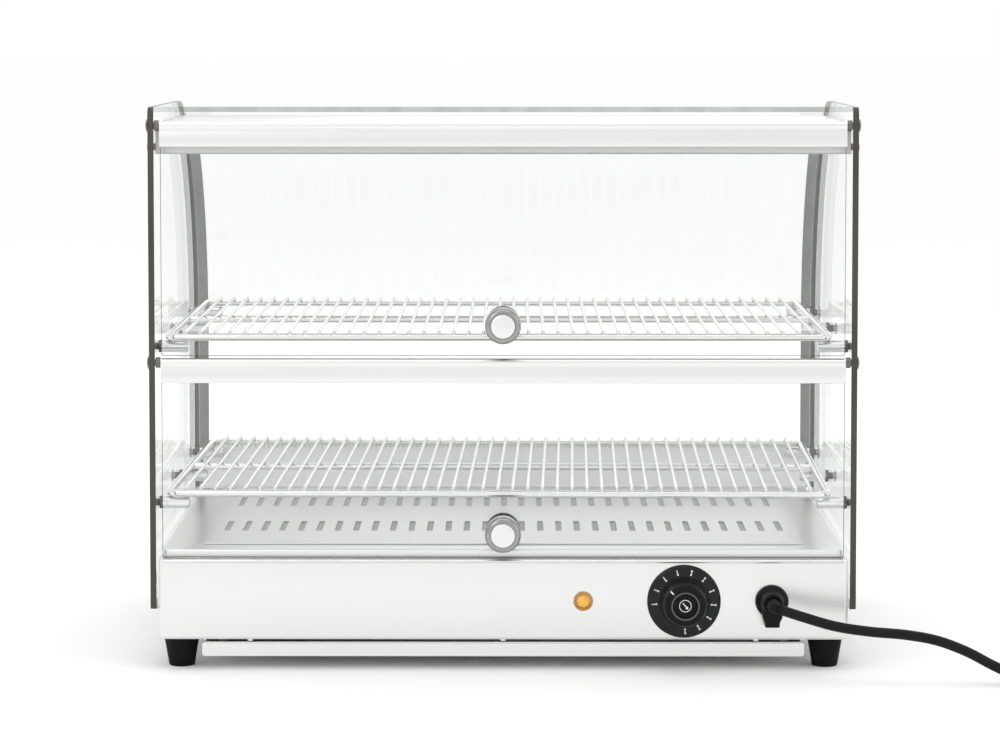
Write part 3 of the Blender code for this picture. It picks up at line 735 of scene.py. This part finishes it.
def make_deck(sizes):
    """Floor pan, the plate with its two rows of slots, a sheet under it that spreads the heat, and the
    upstand at the customer side with its beading."""
    low, high = box("deck_pan")
    half, front, rear, top = high[0], low[1], high[1], high[2]
    plate_low, plate_high = box("slotted_deck_plate")
    thick, fold = 0.001, 0.0016
    turn = np.radians(np.linspace(0, 90, 6))
    corner, lap = 0.004, 0.012
    rolled = [(half - fold * (1 - cos(t)), front + fold * (1 - cos(t)), rear - fold * (1 - cos(t)),
               corner - fold * (1 - cos(t)), top - fold * (1 - sin(t))) for t in turn]
    opening = (plate_high[0] - lap, plate_low[1] + lap, plate_high[1] - lap, 0.006)
    inside = (half - thick, front + thick, rear - thick, corner - thick)
    pan = Skin()
    sheet_ring(pan, [(half, front, rear, corner, low[2]), *rolled, (*opening, top), (*opening, top - thick),
                     (*inside, top - thick), (*inside, low[2])])
    pan.piece("deck_floor", "steel_across", replaces="deck_pan")
    make_slotted_plate(sizes, plate_low, plate_high)

    inset = 0.006
    outline = rounded_rectangle(plate_low[:2] + inset, plate_high[:2] - inset, inset)
    spreader = Skin()
    spreader.prism(outline, "Z", plate_low[2] - 0.0006, plate_low[2] - 0.0002)
    spreader.piece("heat_spreader_sheet", "dull_sheet")

    low, high = box("rear_apron")
    rear, foot, thick = high[1], low[1], 0.0012
    bend = arc((rear - 0.003, low[2] + 0.003), 0.003, -90, 0, 5)
    inner = arc((rear - 0.003, low[2] + 0.003), 0.003 - thick, 0, -90, 5)
    crest = arc((rear - thick / 2, high[2] - thick / 2), thick / 2, 0, 180, 6)
    outline = np.concatenate(([(foot, low[2])], bend, crest, inner, [(foot, low[2] + thick)]))
    apron = Skin()
    apron.prism(outline, "X", low[0], high[0])
    apron.piece("rear_upstand", "steel_across", replaces="rear_apron")

    rope = Skin()
    pitch = 0.004
    count = int((high[0] - low[0] - 0.006) / pitch)
    bead = np.array([(0, -0.0016), (0.0010, -0.0012), (0.0014, 0), (0.0010, 0.0012), (0, 0.0016)])
    for k in range(count):
        x = (k - (count - 1) / 2) * pitch
        rope.turned(bead, "X", (x, rear - thick / 2 - 0.0006, high[2] + 0.0006), 8)
    rope.piece("upstand_beading", "steel_round", angle=60)


def make_slotted_plate(sizes, low, high):
    """Plate of equal cells, each with a slot. The faces of a cell join its outer rectangle to the slot's
    outline, and the slot's wall goes down through the plate; plain strips fill in between the rows."""
    pitch, length, half = sizes.slot_pitch, SLOT_LENGTH, sizes.slot_width / 2
    steps, margin, turn = 4, 0.010, 0.005
    slot = rounded_rectangle((-half, 0), (half, length), 0.0009, steps)
    corners = np.array([(pitch / 2, -margin), (pitch / 2, length + margin), (-pitch / 2, length + margin),
                        (-pitch / 2, -margin)])
    cell = np.repeat(corners, steps + 1, 0)
    top, bottom, dip = high[2], low[2], 0.0003
    lip = slot + np.sign(slot - (0, length / 2)) * dip
    rings = np.stack([placed(cell, top, "Z"), placed(lip, top, "Z"), placed(slot, top - dip, "Z"),
                      placed(slot, bottom, "Z"), placed(cell, bottom, "Z")])
    plate = Skin()
    faces = quads(*rings.shape[:2])
    places = (np.arange(SLOT_COUNT) - (SLOT_COUNT - 1) / 2) * pitch
    for y in SLOT_ROWS:
        for x in places:
            plate.add(rings + (x, y, 0), faces)
    x_cells = np.append(places - pitch / 2, places[-1] + pitch / 2)
    x_low, x_high = low[0], high[0]
    y_lines = np.array([low[1], SLOT_ROWS[0] - margin, SLOT_ROWS[0] + length + margin, SLOT_ROWS[1] - margin,
                        SLOT_ROWS[1] + length + margin, high[1]])
    for z in (top, bottom):
        for j in (0, 2, 4):
            strip = placed(np.stack(np.meshgrid(x_cells, y_lines[j:j + 2]), -1), z, "Z")
            plate.add(strip, quads(2, len(x_cells), around=False))
        for edge, inner, way in ((x_low, x_cells[0], 1), (x_high, x_cells[-1], -1)):
            for j in (1, 2, 3):
                plate.add([(edge, y_lines[j], z), (inner, y_lines[j], z), (inner, y_lines[j + 1], z),
                           (edge, y_lines[j + 1], z)], [[0, 1, 2, 3]])
            for corner_y, line_y, up in ((y_lines[0], y_lines[1], 1), (y_lines[5], y_lines[4], -1)):
                bend = (arc((0, 0), turn, 270, 180, steps) * (way, up)
                        + (edge + way * turn, corner_y + up * turn))
                flat = [(edge, line_y), (inner, line_y), (inner, corner_y), *bend]
                plate.add([(x, y, z) for x, y in flat], [list(range(len(flat)))])
    rim = np.concatenate((
        placed(arc((x_low + turn, y_lines[0] + turn), turn, 180, 270, steps), top, "Z"),
        [(x, y_lines[0], top) for x in x_cells],
        placed(arc((x_high - turn, y_lines[0] + turn), turn, 270, 360, steps), top, "Z"),
        [(x_high, y, top) for y in y_lines[1:5]],
        placed(arc((x_high - turn, y_lines[5] - turn), turn, 0, 90, steps), top, "Z"),
        [(x, y_lines[5], top) for x in x_cells[::-1]],
        placed(arc((x_low + turn, y_lines[5] - turn), turn, 90, 180, steps), top, "Z"),
        [(x_low, y, top) for y in y_lines[4:0:-1]]))
    plate.add(np.stack((rim, rim - (0, 0, top - bottom))), quads(2, len(rim)))
    plate.piece("slotted_plate", "steel_across", replaces="slotted_deck_plate")


def make_tray(sizes):
    """Pull-out crumb tray: a shallow pan with a front lip whose edges are folded back."""
    low, high = box("crumb_tray")
    half, flange, front, rear = 0.2280, 0.0055, FRONT + 0.009, FRONT + 0.340
    floor, rim, thick, corner = low[2] + 0.001, 0.0163, 0.001, 0.004
    pan, edge = (half, front, rear, corner), (half + flange, front, rear + thick, corner)
    inside = (half - thick, front + thick, rear - thick, corner - thick)
    tray = Skin()
    sheet_ring(tray, [(half - corner, front, rear - corner, corner, floor), (*pan, floor + 0.003),
                      (*pan, rim - thick), (*edge, rim - thick), (*edge, rim), (*inside, rim),
                      (*inside, floor + 0.003 + thick),
                      (half - 0.005, front + thick, rear - 0.005, corner - thick, floor + thick)],
               closed=False)
    tray.piece("crumb_tray_pan", "steel_deep", "tray", "crumb_tray")
    lip = Skin()
    face = rounded_rectangle((low[0], low[2]), (high[0], high[2]), 0.0025)
    lip.prism(face, "Y", FRONT + 0.008, front + 0.0003)
    lip.piece("crumb_tray_lip", "steel_across", "tray", edge=sizes.edge_round)
    hem = Skin()
    hem.tube([(x, FRONT + 0.0088, high[2] - 0.0006) for x in np.linspace(low[0] + 0.002, high[0] - 0.002, 7)],
             0.0011, 12)
    hem.piece("crumb_tray_hem", "steel_round", "tray")


# ---------------------------------------------------------------- panes, trims and roof

def bent(inside, outside, foot, angle, steps=56):
    """Side outline of a bent sheet: straight up from its foot, then an arc towards the roof."""
    outer = arc((BEND_Y, BEND_Z), outside, 0, angle, steps)
    inner = arc((BEND_Y, BEND_Z), inside, angle, 0, steps)
    return np.concatenate(([(BEND_Y + outside, foot)], outer, inner, [(BEND_Y + inside, foot)]))


def side_pane_outline():
    """Straight front, bottom and top, then a wide fillet into the customer-side arc."""
    low, high = box("side_glass_left")
    fillet = 0.100
    centre_z = high[2] - fillet
    lean = np.arcsin((centre_z - BEND_Z) / (BEND_RADIUS - fillet))
    centre_y = BEND_Y + (BEND_RADIUS - fillet) * cos(lean)
    meet = np.degrees(lean)
    return np.concatenate((
        arc((low[1] + 0.003, low[2] + 0.003), 0.003, 270, 180, 4),
        arc((low[1] + 0.006, high[2] - 0.006), 0.006, 180, 90, 8),
        arc((centre_y, centre_z), fillet, 90, meet, 24)[:-1],
        arc((BEND_Y, BEND_Z), BEND_RADIUS, meet, 0, 40),
        arc((high[1] - 0.004, low[2] + 0.004), 0.004, 0, -90, 4)))


def make_panes(sizes):
    """Flat side panes, the bent customer pane and the trims along its edges."""
    outline = side_pane_outline()
    for side, _ in SIDES:
        node = f"side_glass_{side}"
        low, high = box(node)
        pane = Skin()
        pane.prism(outline, "X", low[0], high[0], number=1, cap_number=0)
        pane.piece(f"side_pane_{side}", ["pane", "pane_edge"], replaces=node, edge=sizes.edge_round)
    low, high = box("curved_glass")
    inside = inner_radius("curved_glass", PANE)
    section = bent(inside, inside + PANE, low[2], 69)
    pane = Skin()
    pane.prism(section, "X", low[0], high[0], number=0, cap_number=1)
    ends = (56 + 1, len(section) - 1)
    for end in ends:
        pane.finishes[end] = 1
    pane.piece("customer_pane", ["pane", "pale_edge"], replaces="curved_glass",
               edge=sizes.edge_round)
    for side, _ in SIDES:
        node = f"corner_trim_{side}"
        low, high = box(node)
        inside = inner_radius(node, TRIM)
        trim = Skin()
        trim.prism(bent(inside, inside + TRIM, low[2], 66.2), "X", low[0], high[0])
        trim.piece(f"{node}_strip", "trim", replaces=node, edge=0.0004)


def inner_radius(node, thickness):
    """Inner radius of a bent node, from how far its foot stands behind the bend's centre."""
    return box(node)[1][1] - BEND_Y - thickness


def make_roof():
    """Roof sheet with a folded front edge, and the channel behind the upper door's bar, whose steel is
    darkened as painted shade.
    """
    low, high = box("roof_panel")
    thick = high[2] - low[2]
    sheet = Skin()
    outline = np.concatenate((arc((low[1] + thick / 2, low[2] + thick / 2), thick / 2, 270, 90, 6),
                              arc((high[1] - thick / 2, low[2] + thick / 2), thick / 2, 90, -90, 6)))
    sheet.prism(outline, "X", low[0], high[0])
    sheet.piece("roof_sheet", "steel_across", replaces="roof_panel")

    low, high = box("roof_channel")
    web, rear, toe, radius = low[1], high[1], FRONT + 0.022, 0.0024
    inner = radius - thick
    outline = np.concatenate((
        [(toe, low[2] + thick), (toe, low[2])],
        arc((web + radius, low[2] + radius), radius, 270, 180, 5),
        arc((web + radius, high[2] - radius), radius, 180, 90, 5),
        [(rear, high[2]), (rear, high[2] - thick)],
        arc((web + radius, high[2] - radius), inner, 90, 180, 5),
        arc((web + radius, low[2] + radius), inner, 180, 270, 5)))
    channel = Skin()
    channel.prism(outline, "X", low[0], high[0])
    # the channel's steel is a darker copy of the sheet: painted shade for its recess
    channel.piece("roof_front_channel", "steel_shaded", replaces="roof_channel")


# ---------------------------------------------------------------- doors

def make_door(name, sizes):
    """Flap door: rolled hinge bar, glass, and a knob on a plate behind the glass."""
    body = f"{name}_door"
    pivot = np.array(JOINTS[f"{name}_door_hinge"]["pos_m"])
    low, high = box(f"{name}_door_bar")
    roll = pivot[1] - low[1]
    wall = 0.0011
    slot = roll - wall
    waist = pivot[2] - 0.0046
    neck = 0.0005
    top = arc(pivot[1:], roll, 205, -25, 20)
    rear = [(pivot[1] + roll - neck, waist + 0.0006), (pivot[1] + roll, waist - 0.0008)]
    fore = [(pivot[1] - roll, waist - 0.0008), (pivot[1] - roll + neck, waist + 0.0006)]
    toe = 0.0007
    outline = np.concatenate((
        fore, top, rear,
        arc((pivot[1] + roll - toe, low[2] + toe), toe, 0, -90, 4), [(pivot[1] + slot, low[2])],
        [(pivot[1] + slot, pivot[2] - 0.005), (pivot[1] - slot, pivot[2] - 0.005)],
        [(pivot[1] - slot, low[2])],
        arc((pivot[1] - roll + toe, low[2] + toe), toe, -90, -180, 4)))
    bar = Skin()
    bar.prism(outline, "X", low[0], high[0])
    bar.piece(f"{name}_hinge_bar", "steel_across", body, f"{name}_door_bar")

    low, high = box(f"{name}_door_glass")
    outline = rounded_rectangle((low[0], low[2]), (high[0], high[2]), 0.002)
    pane = Skin()
    pane.prism(outline, "Y", low[1], high[1], number=1, cap_number=0)
    pane.piece(f"{name}_door_pane", ["pane", "pane_edge"], body, f"{name}_door_glass",
               edge=sizes.edge_round)

    low, high = box(f"{name}_door_knob")
    radius, tip, back = (high[0] - low[0]) / 2, low[1], high[1]
    centre = middle(f"{name}_door_knob", (1, 0, 1))
    knob = Skin()
    turn = np.radians(np.linspace(0, 90, 7))
    crown = [(radius - 0.0035 + 0.0035 * cos(t), tip + 0.0057 - 0.0035 * sin(t)) for t in turn]
    ring = [(0, back), (0.0075, back), (0.0078, back - 0.0008), (0.0070, back - 0.0020),
            (0.0068, back - 0.0080), (0.0080, back - 0.0105), (0.0125, back - 0.0130),
            (radius, back - 0.0150), (radius, back - 0.0160), (radius - 0.0003, back - 0.0163),
            (radius - 0.0003, back - 0.0168), (radius, back - 0.0171), *crown,
            (0.0098, tip + 0.0022), (0.0095, tip + 0.0030), (0, tip + 0.0030)]
    knob.turned(ring, "Y", centre, 64)
    knob.piece(f"{name}_knob_ring", "knob_ring", body, f"{name}_door_knob", angle=30)
    face = Skin()
    bulge = [(0.0092 * sin(t), tip + 0.0008 - 0.0008 * cos(t)) for t in turn]
    face.turned([*bulge, (0.0092, tip + 0.0034), (0, tip + 0.0034)], "Y", centre, 64)
    face.piece(f"{name}_knob_face", "knob_face", body, angle=40)

    low, high = box(f"{name}_knob_plate")
    back, wide, fore = high[1], (high[0] - low[0]) / 2, high[1] - 0.003
    plate = Skin()
    plate.turned([(0, back - 0.0008), (0.0030, back - 0.0008), (0.0034, back), (wide - 0.0010, back),
                  (wide - 0.0003, back - 0.0004), (wide, back - 0.0012), (wide, fore), (0.0029, fore),
                  (0.0029, low[1]), (0, low[1])], "Y", centre, 56)
    plate.piece(f"{name}_knob_back", "knob_ring", body, f"{name}_knob_plate", "grey_trim")


# ---------------------------------------------------------------- racks, studs and bolts

def make_rack(name, sizes):
    """Wire rack: a round-cornered frame with one middle bar, cross wires laid on it, and weld nuggets."""
    turn = {"upper": 0.0, "lower": radians(-1.0)}[name]
    half, depth = 0.263, 0.330
    wire, cross = sizes.frame_wire / 2, sizes.cross_wire / 2
    centre = middle(f"{name}_rack")
    centre[2] = box(f"{name}_rack")[0][2]
    spin = np.array(((cos(turn), sin(turn), 0), (-sin(turn), cos(turn), 0), (0, 0, 1)))
    bars = (-depth / 2 + wire, 0.0, depth / 2 - wire)
    rest = 2 * wire + cross - 0.0004
    rack = Skin()
    frame_path = rounded_rectangle((-half + wire, bars[0]), (half - wire, bars[2]), 0.008, 8)
    rack.tube(placed(frame_path, wire, "Z"), wire, 16, closed=True)
    rack.tube([(x, 0.0, wire) for x in np.linspace(-half + 0.002, half - 0.002, 3)], wire, 16)
    nugget = np.array([(0, -0.0017), (0.0013, -0.0011), (0.0018, 0), (0.0013, 0.0009), (0, 0.0012)])
    for k in range(sizes.cross_count):
        x = (k - sizes.cross_count // 2) * sizes.cross_pitch
        path = np.array([(x, y, rest) for y in np.linspace(-depth / 2 + 0.0005, depth / 2 - 0.0005, 5)])
        rack.tube(path, cross, 10)
        for y in bars:
            rack.turned(nugget, "Z", (x, y, 2 * wire - 0.0002), 8)
    rack.points = [points @ spin + centre for points in rack.points]
    rack.piece(f"{name}_wire_rack", "wire", f"rack_{name}", f"{name}_rack", angle=60)


def make_studs_and_bolts():
    """Pins through the side panes: rack studs with dark washers, and the doors' and channel's bolts."""
    outer, shank, seat = box("side_glass_right")[1][0], 0.0028, 0.2688

    def pin(skin, node, way, profiles):
        """Profiles of (radius, distance from the middle of the case), turned about the node's own axis."""
        for number, profile in profiles:
            skin.turned([(r, way * d) for r, d in profile], "X", middle(node, (0, 1, 1)), 32, number=number)

    head = [(r, outer + d) for r, d in dome(0.0055)]
    turn = np.radians(np.linspace(0, 90, 6))
    for rack in LEVELS:
        studs, nodes = Skin(), []
        for where in ("front", "middle", "rear"):
            for side, way in SIDES:
                node = f"{rack}_stud_{where}_{side}"
                nodes.append(node)
                tip = abs(np.array(box(node))[:, 0]).min()
                nose = [(0.0037 + 0.00105 * sin(t), tip + 0.00105 * (1 - cos(t))) for t in turn]
                rod = [(0, tip), *nose, (0.00475, 0.2690), (0, 0.2690)]
                washer = [(0, seat), (0.0046, seat), (0.0050, seat + 0.0004), (0.0050, WALL - 0.0005),
                          (0.0046, WALL - 0.0002), (shank, WALL - 0.0002), (shank, outer - 0.0002),
                          (0, outer)]
                pin(studs, node, way, ((0, rod), (1, washer), (2, head)))
        studs.piece(f"{rack}_rack_studs", ["wire", "dark_bolt", "dark_bolt"], replaces=nodes)
    for kind, washer_radius, inner in (("upper_pivot_bolt", 0.0042, 0.2684),
                                       ("lower_pivot_bolt", 0.0042, 0.2684),
                                       ("roof_channel_bolt", 0.0040, 0.2650)):
        bolts = Skin()
        for side, way in SIDES:
            node = f"{kind}_{side}"
            tip = abs(np.array(box(node))[:, 0]).min()
            bolt = [(0, tip), (0.0017, tip + 0.0003), (0.0017, inner), (washer_radius, inner),
                    (washer_radius, WALL - 0.0003), (shank, WALL - 0.0003), (shank, outer), (0, outer)]
            bolt_head = [(r, outer + d) for r, d in dome(0.0055, 0.0018)]
            pin(bolts, node, way, ((0, bolt), (0, bolt_head)))
        bolts.piece(f"{kind}s", "dark_bolt", replaces=[f"{kind}_left", f"{kind}_right"])


# ---------------------------------------------------------------- thermostat, lamp, gland, element

def make_thermostat():
    """Fixed skirt with a printed scale, and a stepped knob with a pointer and a ringed cap."""
    low, high = box("dial_bezel")
    centre = middle("dial_bezel", (1, 0, 1))
    wide, face, back = (high[0] - low[0]) / 2, low[1], high[1]
    skirt = Skin()
    skirt.turned([(0.0042, back), (0.0042, face), (0.0196, face), (wide - 0.0019, face + 0.0009),
                  (wide - 0.0008, face + 0.0014), (wide - 0.0002, face + 0.0020), (wide, face + 0.0026),
                  (wide, back)], "Y", centre, 96, closed=True)
    skirt.piece("dial_skirt", "gloss_plastic", replaces="dial_bezel")

    hub = centre[[0, 2]]

    def print_strip(skin, lean, points, fore, rear):
        """Flat strip of (along, aside) points, turned about the dial's middle."""
        out, aside = np.array((sin(lean), cos(lean))), np.array((cos(lean), -sin(lean)))
        points = np.array(points)
        skin.prism(hub + points[:, :1] * out + points[:, 1:] * aside, "Y", fore, rear)

    marks = Skin()
    for k in range(11):
        lean = radians(-95 + 27.3 * k)
        out = np.array((sin(lean), cos(lean)))
        marks.prism(hub + out * 0.0218 + arc((0, 0), 0.00075, 0, 330, 11), "Y", face + 0.00018, face + 0.0010)
        print_strip(marks, lean,
                    [(0.0226, -0.0004), (0.0256, -0.00025), (0.0256, 0.00025), (0.0226, 0.0004)],
                    face + 0.00018, face + 0.0010)
        if k > 3:
            print_strip(marks, lean,
                        [(0.0246, -0.0010), (0.0252, -0.0010), (0.0252, 0.0008), (0.0246, 0.0008)],
                        face + 0.00020, face + 0.0010)
    marks.piece("dial_marks", "print")

    back = box("dial_knob")[1][1]
    knob = Skin()
    rows = [(0, 0), (0.0195, 0), (0.0195, 0.0026), (0.0192, 0.0034), (0.0186, 0.0040), (0.0182, 0.0050),
            (0.0176, 0.0120), (0.0166, 0.0180), (0.0158, 0.0202), (0.0146, 0.0214), (0.0130, 0.0219),
            (0.0112, 0.0220), (0.0100, 0.0218), (0.0092, 0.0208), (0.0086, 0.0190), (0, 0.0186)]
    knob.turned([(r, back - d) for r, d in rows], "Y", centre, 96)
    knob.piece("thermostat_grip", "plastic", "thermostat", "dial_knob", angle=50)
    collar = Skin()
    ring = [(0.0098, 0.0217), (0.0101, 0.0221), (0.0107, 0.0222), (0.0112, 0.0219), (0.0105, 0.0216)]
    collar.turned([(r, back - d) for r, d in ring], "Y", centre, 72, closed=True)
    collar.piece("thermostat_ring", "grey_plastic", "thermostat", angle=60)

    print_face = back - 0.0191
    signs = Skin()
    signs.turned([(0.0043, print_face + 0.0006), (0.0043, print_face), (0.0048, print_face),
                  (0.0048, print_face + 0.0006)], "Y", centre, 48, closed=True)

    lean = radians(-40)
    for points in (arc((-0.0020, 0), 0.0011, 0, 345, 23),
                   [(-0.0014, -0.0004), (0.0030, -0.0004), (0.0030, 0.0004), (-0.0014, 0.0004)]):
        print_strip(signs, lean, points, print_face, print_face + 0.0006)
    print_strip(signs, radians(-44),
                [(0.0132, -0.0005), (0.0162, -0.0005), (0.0162, 0.0005), (0.0132, 0.0005)],
                back - 0.0221, back - 0.0190)
    signs.piece("thermostat_signs", "print", "thermostat")


def make_lamp():
    """Amber indicator: a translucent collar with a dark groove, and a faceted lens."""
    centre = middle("lamp_body", (1, 0, 1)) + (0, FRONT, 0)
    collar = Skin()
    collar.turned([(0, 0.004), (0.0051, 0.004), (0.0052, -0.0010), (0.0056, -0.0021), (0.0063, -0.0023),
                   (0.0071, -0.0020), (0.0077, -0.0011), (0.0077, -0.0003), (0.0060, -0.0003),
                   (0.0058, 0.024), (0, 0.024)], "Y", centre, 64)
    collar.piece("lamp_collar", "amber_collar", replaces="lamp_body")
    lens = Skin()
    turn = np.radians(np.linspace(0, 90, 8))
    bulge = [(0.0048 * sin(t), -0.0012 - 0.0030 * cos(t)) for t in turn]
    lens.turned([*bulge, (0.0048, 0.0035), (0, 0.0035)], "Y", centre, 40)
    lens.piece("lamp_facets", "amber", replaces="lamp_lens")


def make_gland():
    """Cable gland: a domed flange, a raised mouth and the hood of its clamping screw below."""
    gland = Skin()
    gland.turned([(0, -0.0128), (0.0046, -0.0128), (0.0050, -0.0138), (0.0062, -0.0142),
                  (0.0076, -0.0136), (0.0084, -0.0120), (0.0092, -0.0062), (0.0100, -0.0052),
                  (0.0118, -0.0044), (0.0128, -0.0030), (0.0130, -0.0018), (0.0130, -0.0003),
                  (0, -0.0003)], "Y", GLAND, 64)
    gland.piece("gland_flange", "plastic", replaces="cable_gland", angle=40)
    hood = Skin()
    width = np.array([0.0084, 0.0082, 0.0076, 0.0062, 0.0058, 0.0058])
    height = GLAND[2] - np.array([0.001, 0.006, 0.012, 0.0150, 0.0165, 0.0195])
    depth = np.array([0.0112, 0.0112, 0.0108, 0.0100, 0.0096, 0.0092])
    rings = []
    for half, z, deep in zip(width, height, depth):
        section = rounded_rectangle((-half, -deep), (half, -0.0020), 0.0022, 5)
        rings.append(placed(section + GLAND[:2], z, "Z"))
    hood.loops(np.stack(rings))
    hood.piece("gland_hood", "plastic", edge=0.0004, angle=45)


def make_element():
    """Heating tube under the slotted plate, as one smooth wire loop."""
    low, high = box("heating_element")
    z, radius, bend, leg = (low[2] + high[2]) / 2, (high[2] - low[2]) / 2, 0.028, 0.030
    half, front, rear = high[0] - radius, low[1] + radius, high[1]
    step = front + 0.120
    path = np.concatenate((
        [(-leg, rear)], arc((-leg - bend, step + bend), bend, 0, -90, 8),
        arc((-half + bend, step - bend), bend, 90, 180, 8),
        arc((-half + bend, front + bend), bend, 180, 270, 8),
        arc((half - bend, front + bend), bend, 270, 360, 8), arc((half - bend, step - bend), bend, 0, 90, 8),
        arc((leg + bend, step + bend), bend, 270, 180, 8), [(leg, rear)]))
    element = Skin()
    element.tube(placed(path, z, "Z"), radius, 16)
    element.piece("heating_tube", "dull_metal", replaces="heating_element")


# ---------------------------------------------------------------- operators

class CASE_OT_stage(bpy.types.Operator):
    """Make the camera, the floor and the lights"""
    bl_idname = "display_case.stage"
    bl_label = "Stage"

    def execute(self, context):
        make_stage(context.scene.case_stage)
        return {"FINISHED"}


class CASE_OT_lead(bpy.types.Operator):
    """Make the mains lead with its strain relief, ties and plug"""
    bl_idname = "display_case.lead"
    bl_label = "Mains lead"

    def execute(self, context):
        make_lead(context.scene.case_sizes)
        return {"FINISHED"}


class CASE_OT_base(bpy.types.Operator):
    """Make the folded base with its bead, feet and screws"""
    bl_idname = "display_case.base"
    bl_label = "Base"

    def execute(self, context):
        make_base()
        return {"FINISHED"}


class CASE_OT_deck(bpy.types.Operator):
    """Make the deck, its slotted plate and the upstand"""
    bl_idname = "display_case.deck"
    bl_label = "Deck"

    def execute(self, context):
        make_deck(context.scene.case_sizes)
        return {"FINISHED"}


class CASE_OT_tray(bpy.types.Operator):
    """Make the pull-out crumb tray"""
    bl_idname = "display_case.tray"
    bl_label = "Crumb tray"

    def execute(self, context):
        make_tray(context.scene.case_sizes)
        return {"FINISHED"}


class CASE_OT_panes(bpy.types.Operator):
    """Make the side panes, the customer pane and the corner trims"""
    bl_idname = "display_case.panes"
    bl_label = "Panes"

    def execute(self, context):
        make_panes(context.scene.case_sizes)
        return {"FINISHED"}


class CASE_OT_roof(bpy.types.Operator):
    """Make the roof sheet and its front channel"""
    bl_idname = "display_case.roof"
    bl_label = "Roof"

    def execute(self, context):
        make_roof()
        return {"FINISHED"}


class CASE_OT_doors(bpy.types.Operator):
    """Make both flap doors with their knobs"""
    bl_idname = "display_case.doors"
    bl_label = "Doors"

    def execute(self, context):
        for name in LEVELS:
            make_door(name, context.scene.case_sizes)
        return {"FINISHED"}


class CASE_OT_racks(bpy.types.Operator):
    """Make both wire racks"""
    bl_idname = "display_case.racks"
    bl_label = "Racks"

    def execute(self, context):
        for name in LEVELS:
            make_rack(name, context.scene.case_sizes)
        return {"FINISHED"}


class CASE_OT_fasteners(bpy.types.Operator):
    """Make the rack studs, the door pivots and the channel's bolts"""
    bl_idname = "display_case.fasteners"
    bl_label = "Studs and bolts"

    def execute(self, context):
        make_studs_and_bolts()
        return {"FINISHED"}


class CASE_OT_controls(bpy.types.Operator):
    """Make the thermostat, the lamp, the cable gland and the heating tube"""
    bl_idname = "display_case.controls"
    bl_label = "Controls and heating"

    def execute(self, context):
        for make in (make_thermostat, make_lamp, make_gland, make_element):
            make()
        return {"FINISHED"}


OPERATORS = (CASE_OT_stage, CASE_OT_lead, CASE_OT_base, CASE_OT_deck, CASE_OT_tray, CASE_OT_panes,
             CASE_OT_roof, CASE_OT_doors, CASE_OT_racks, CASE_OT_fasteners, CASE_OT_controls)
SETTINGS = {"case_sizes": CaseSizes, "case_colours": CaseColours, "case_stage": StageSettings}


class CASE_PT_panel(bpy.types.Panel):
    """Settings of the display case and a button for each group of pieces"""
    bl_idname = "CASE_PT_panel"
    bl_label = "Display Case"
    bl_space_type = "VIEW_3D"
    bl_region_type = "UI"
    bl_category = "Display Case"

    def draw(self, context):
        for name, settings in SETTINGS.items():
            section = self.layout.box()
            for field in settings.__annotations__:
                section.prop(getattr(context.scene, name), field)
        for operator in OPERATORS:
            self.layout.operator(operator.bl_idname)


def register():
    for kind in (*SETTINGS.values(), *OPERATORS, CASE_PT_panel):
        bpy.utils.register_class(kind)
    for name, settings in SETTINGS.items():
        setattr(bpy.types.Scene, name, bpy.props.PointerProperty(type=settings))


def unregister():
    for name in SETTINGS:
        delattr(bpy.types.Scene, name)
    for kind in (CASE_PT_panel, *reversed(OPERATORS), *reversed(SETTINGS.values())):
        bpy.utils.unregister_class(kind)


def main():
    register()
    for operator in OPERATORS:
        getattr(bpy.ops.display_case, operator.bl_idname.split(".")[1])()


if __name__ == "__main__":
    main()
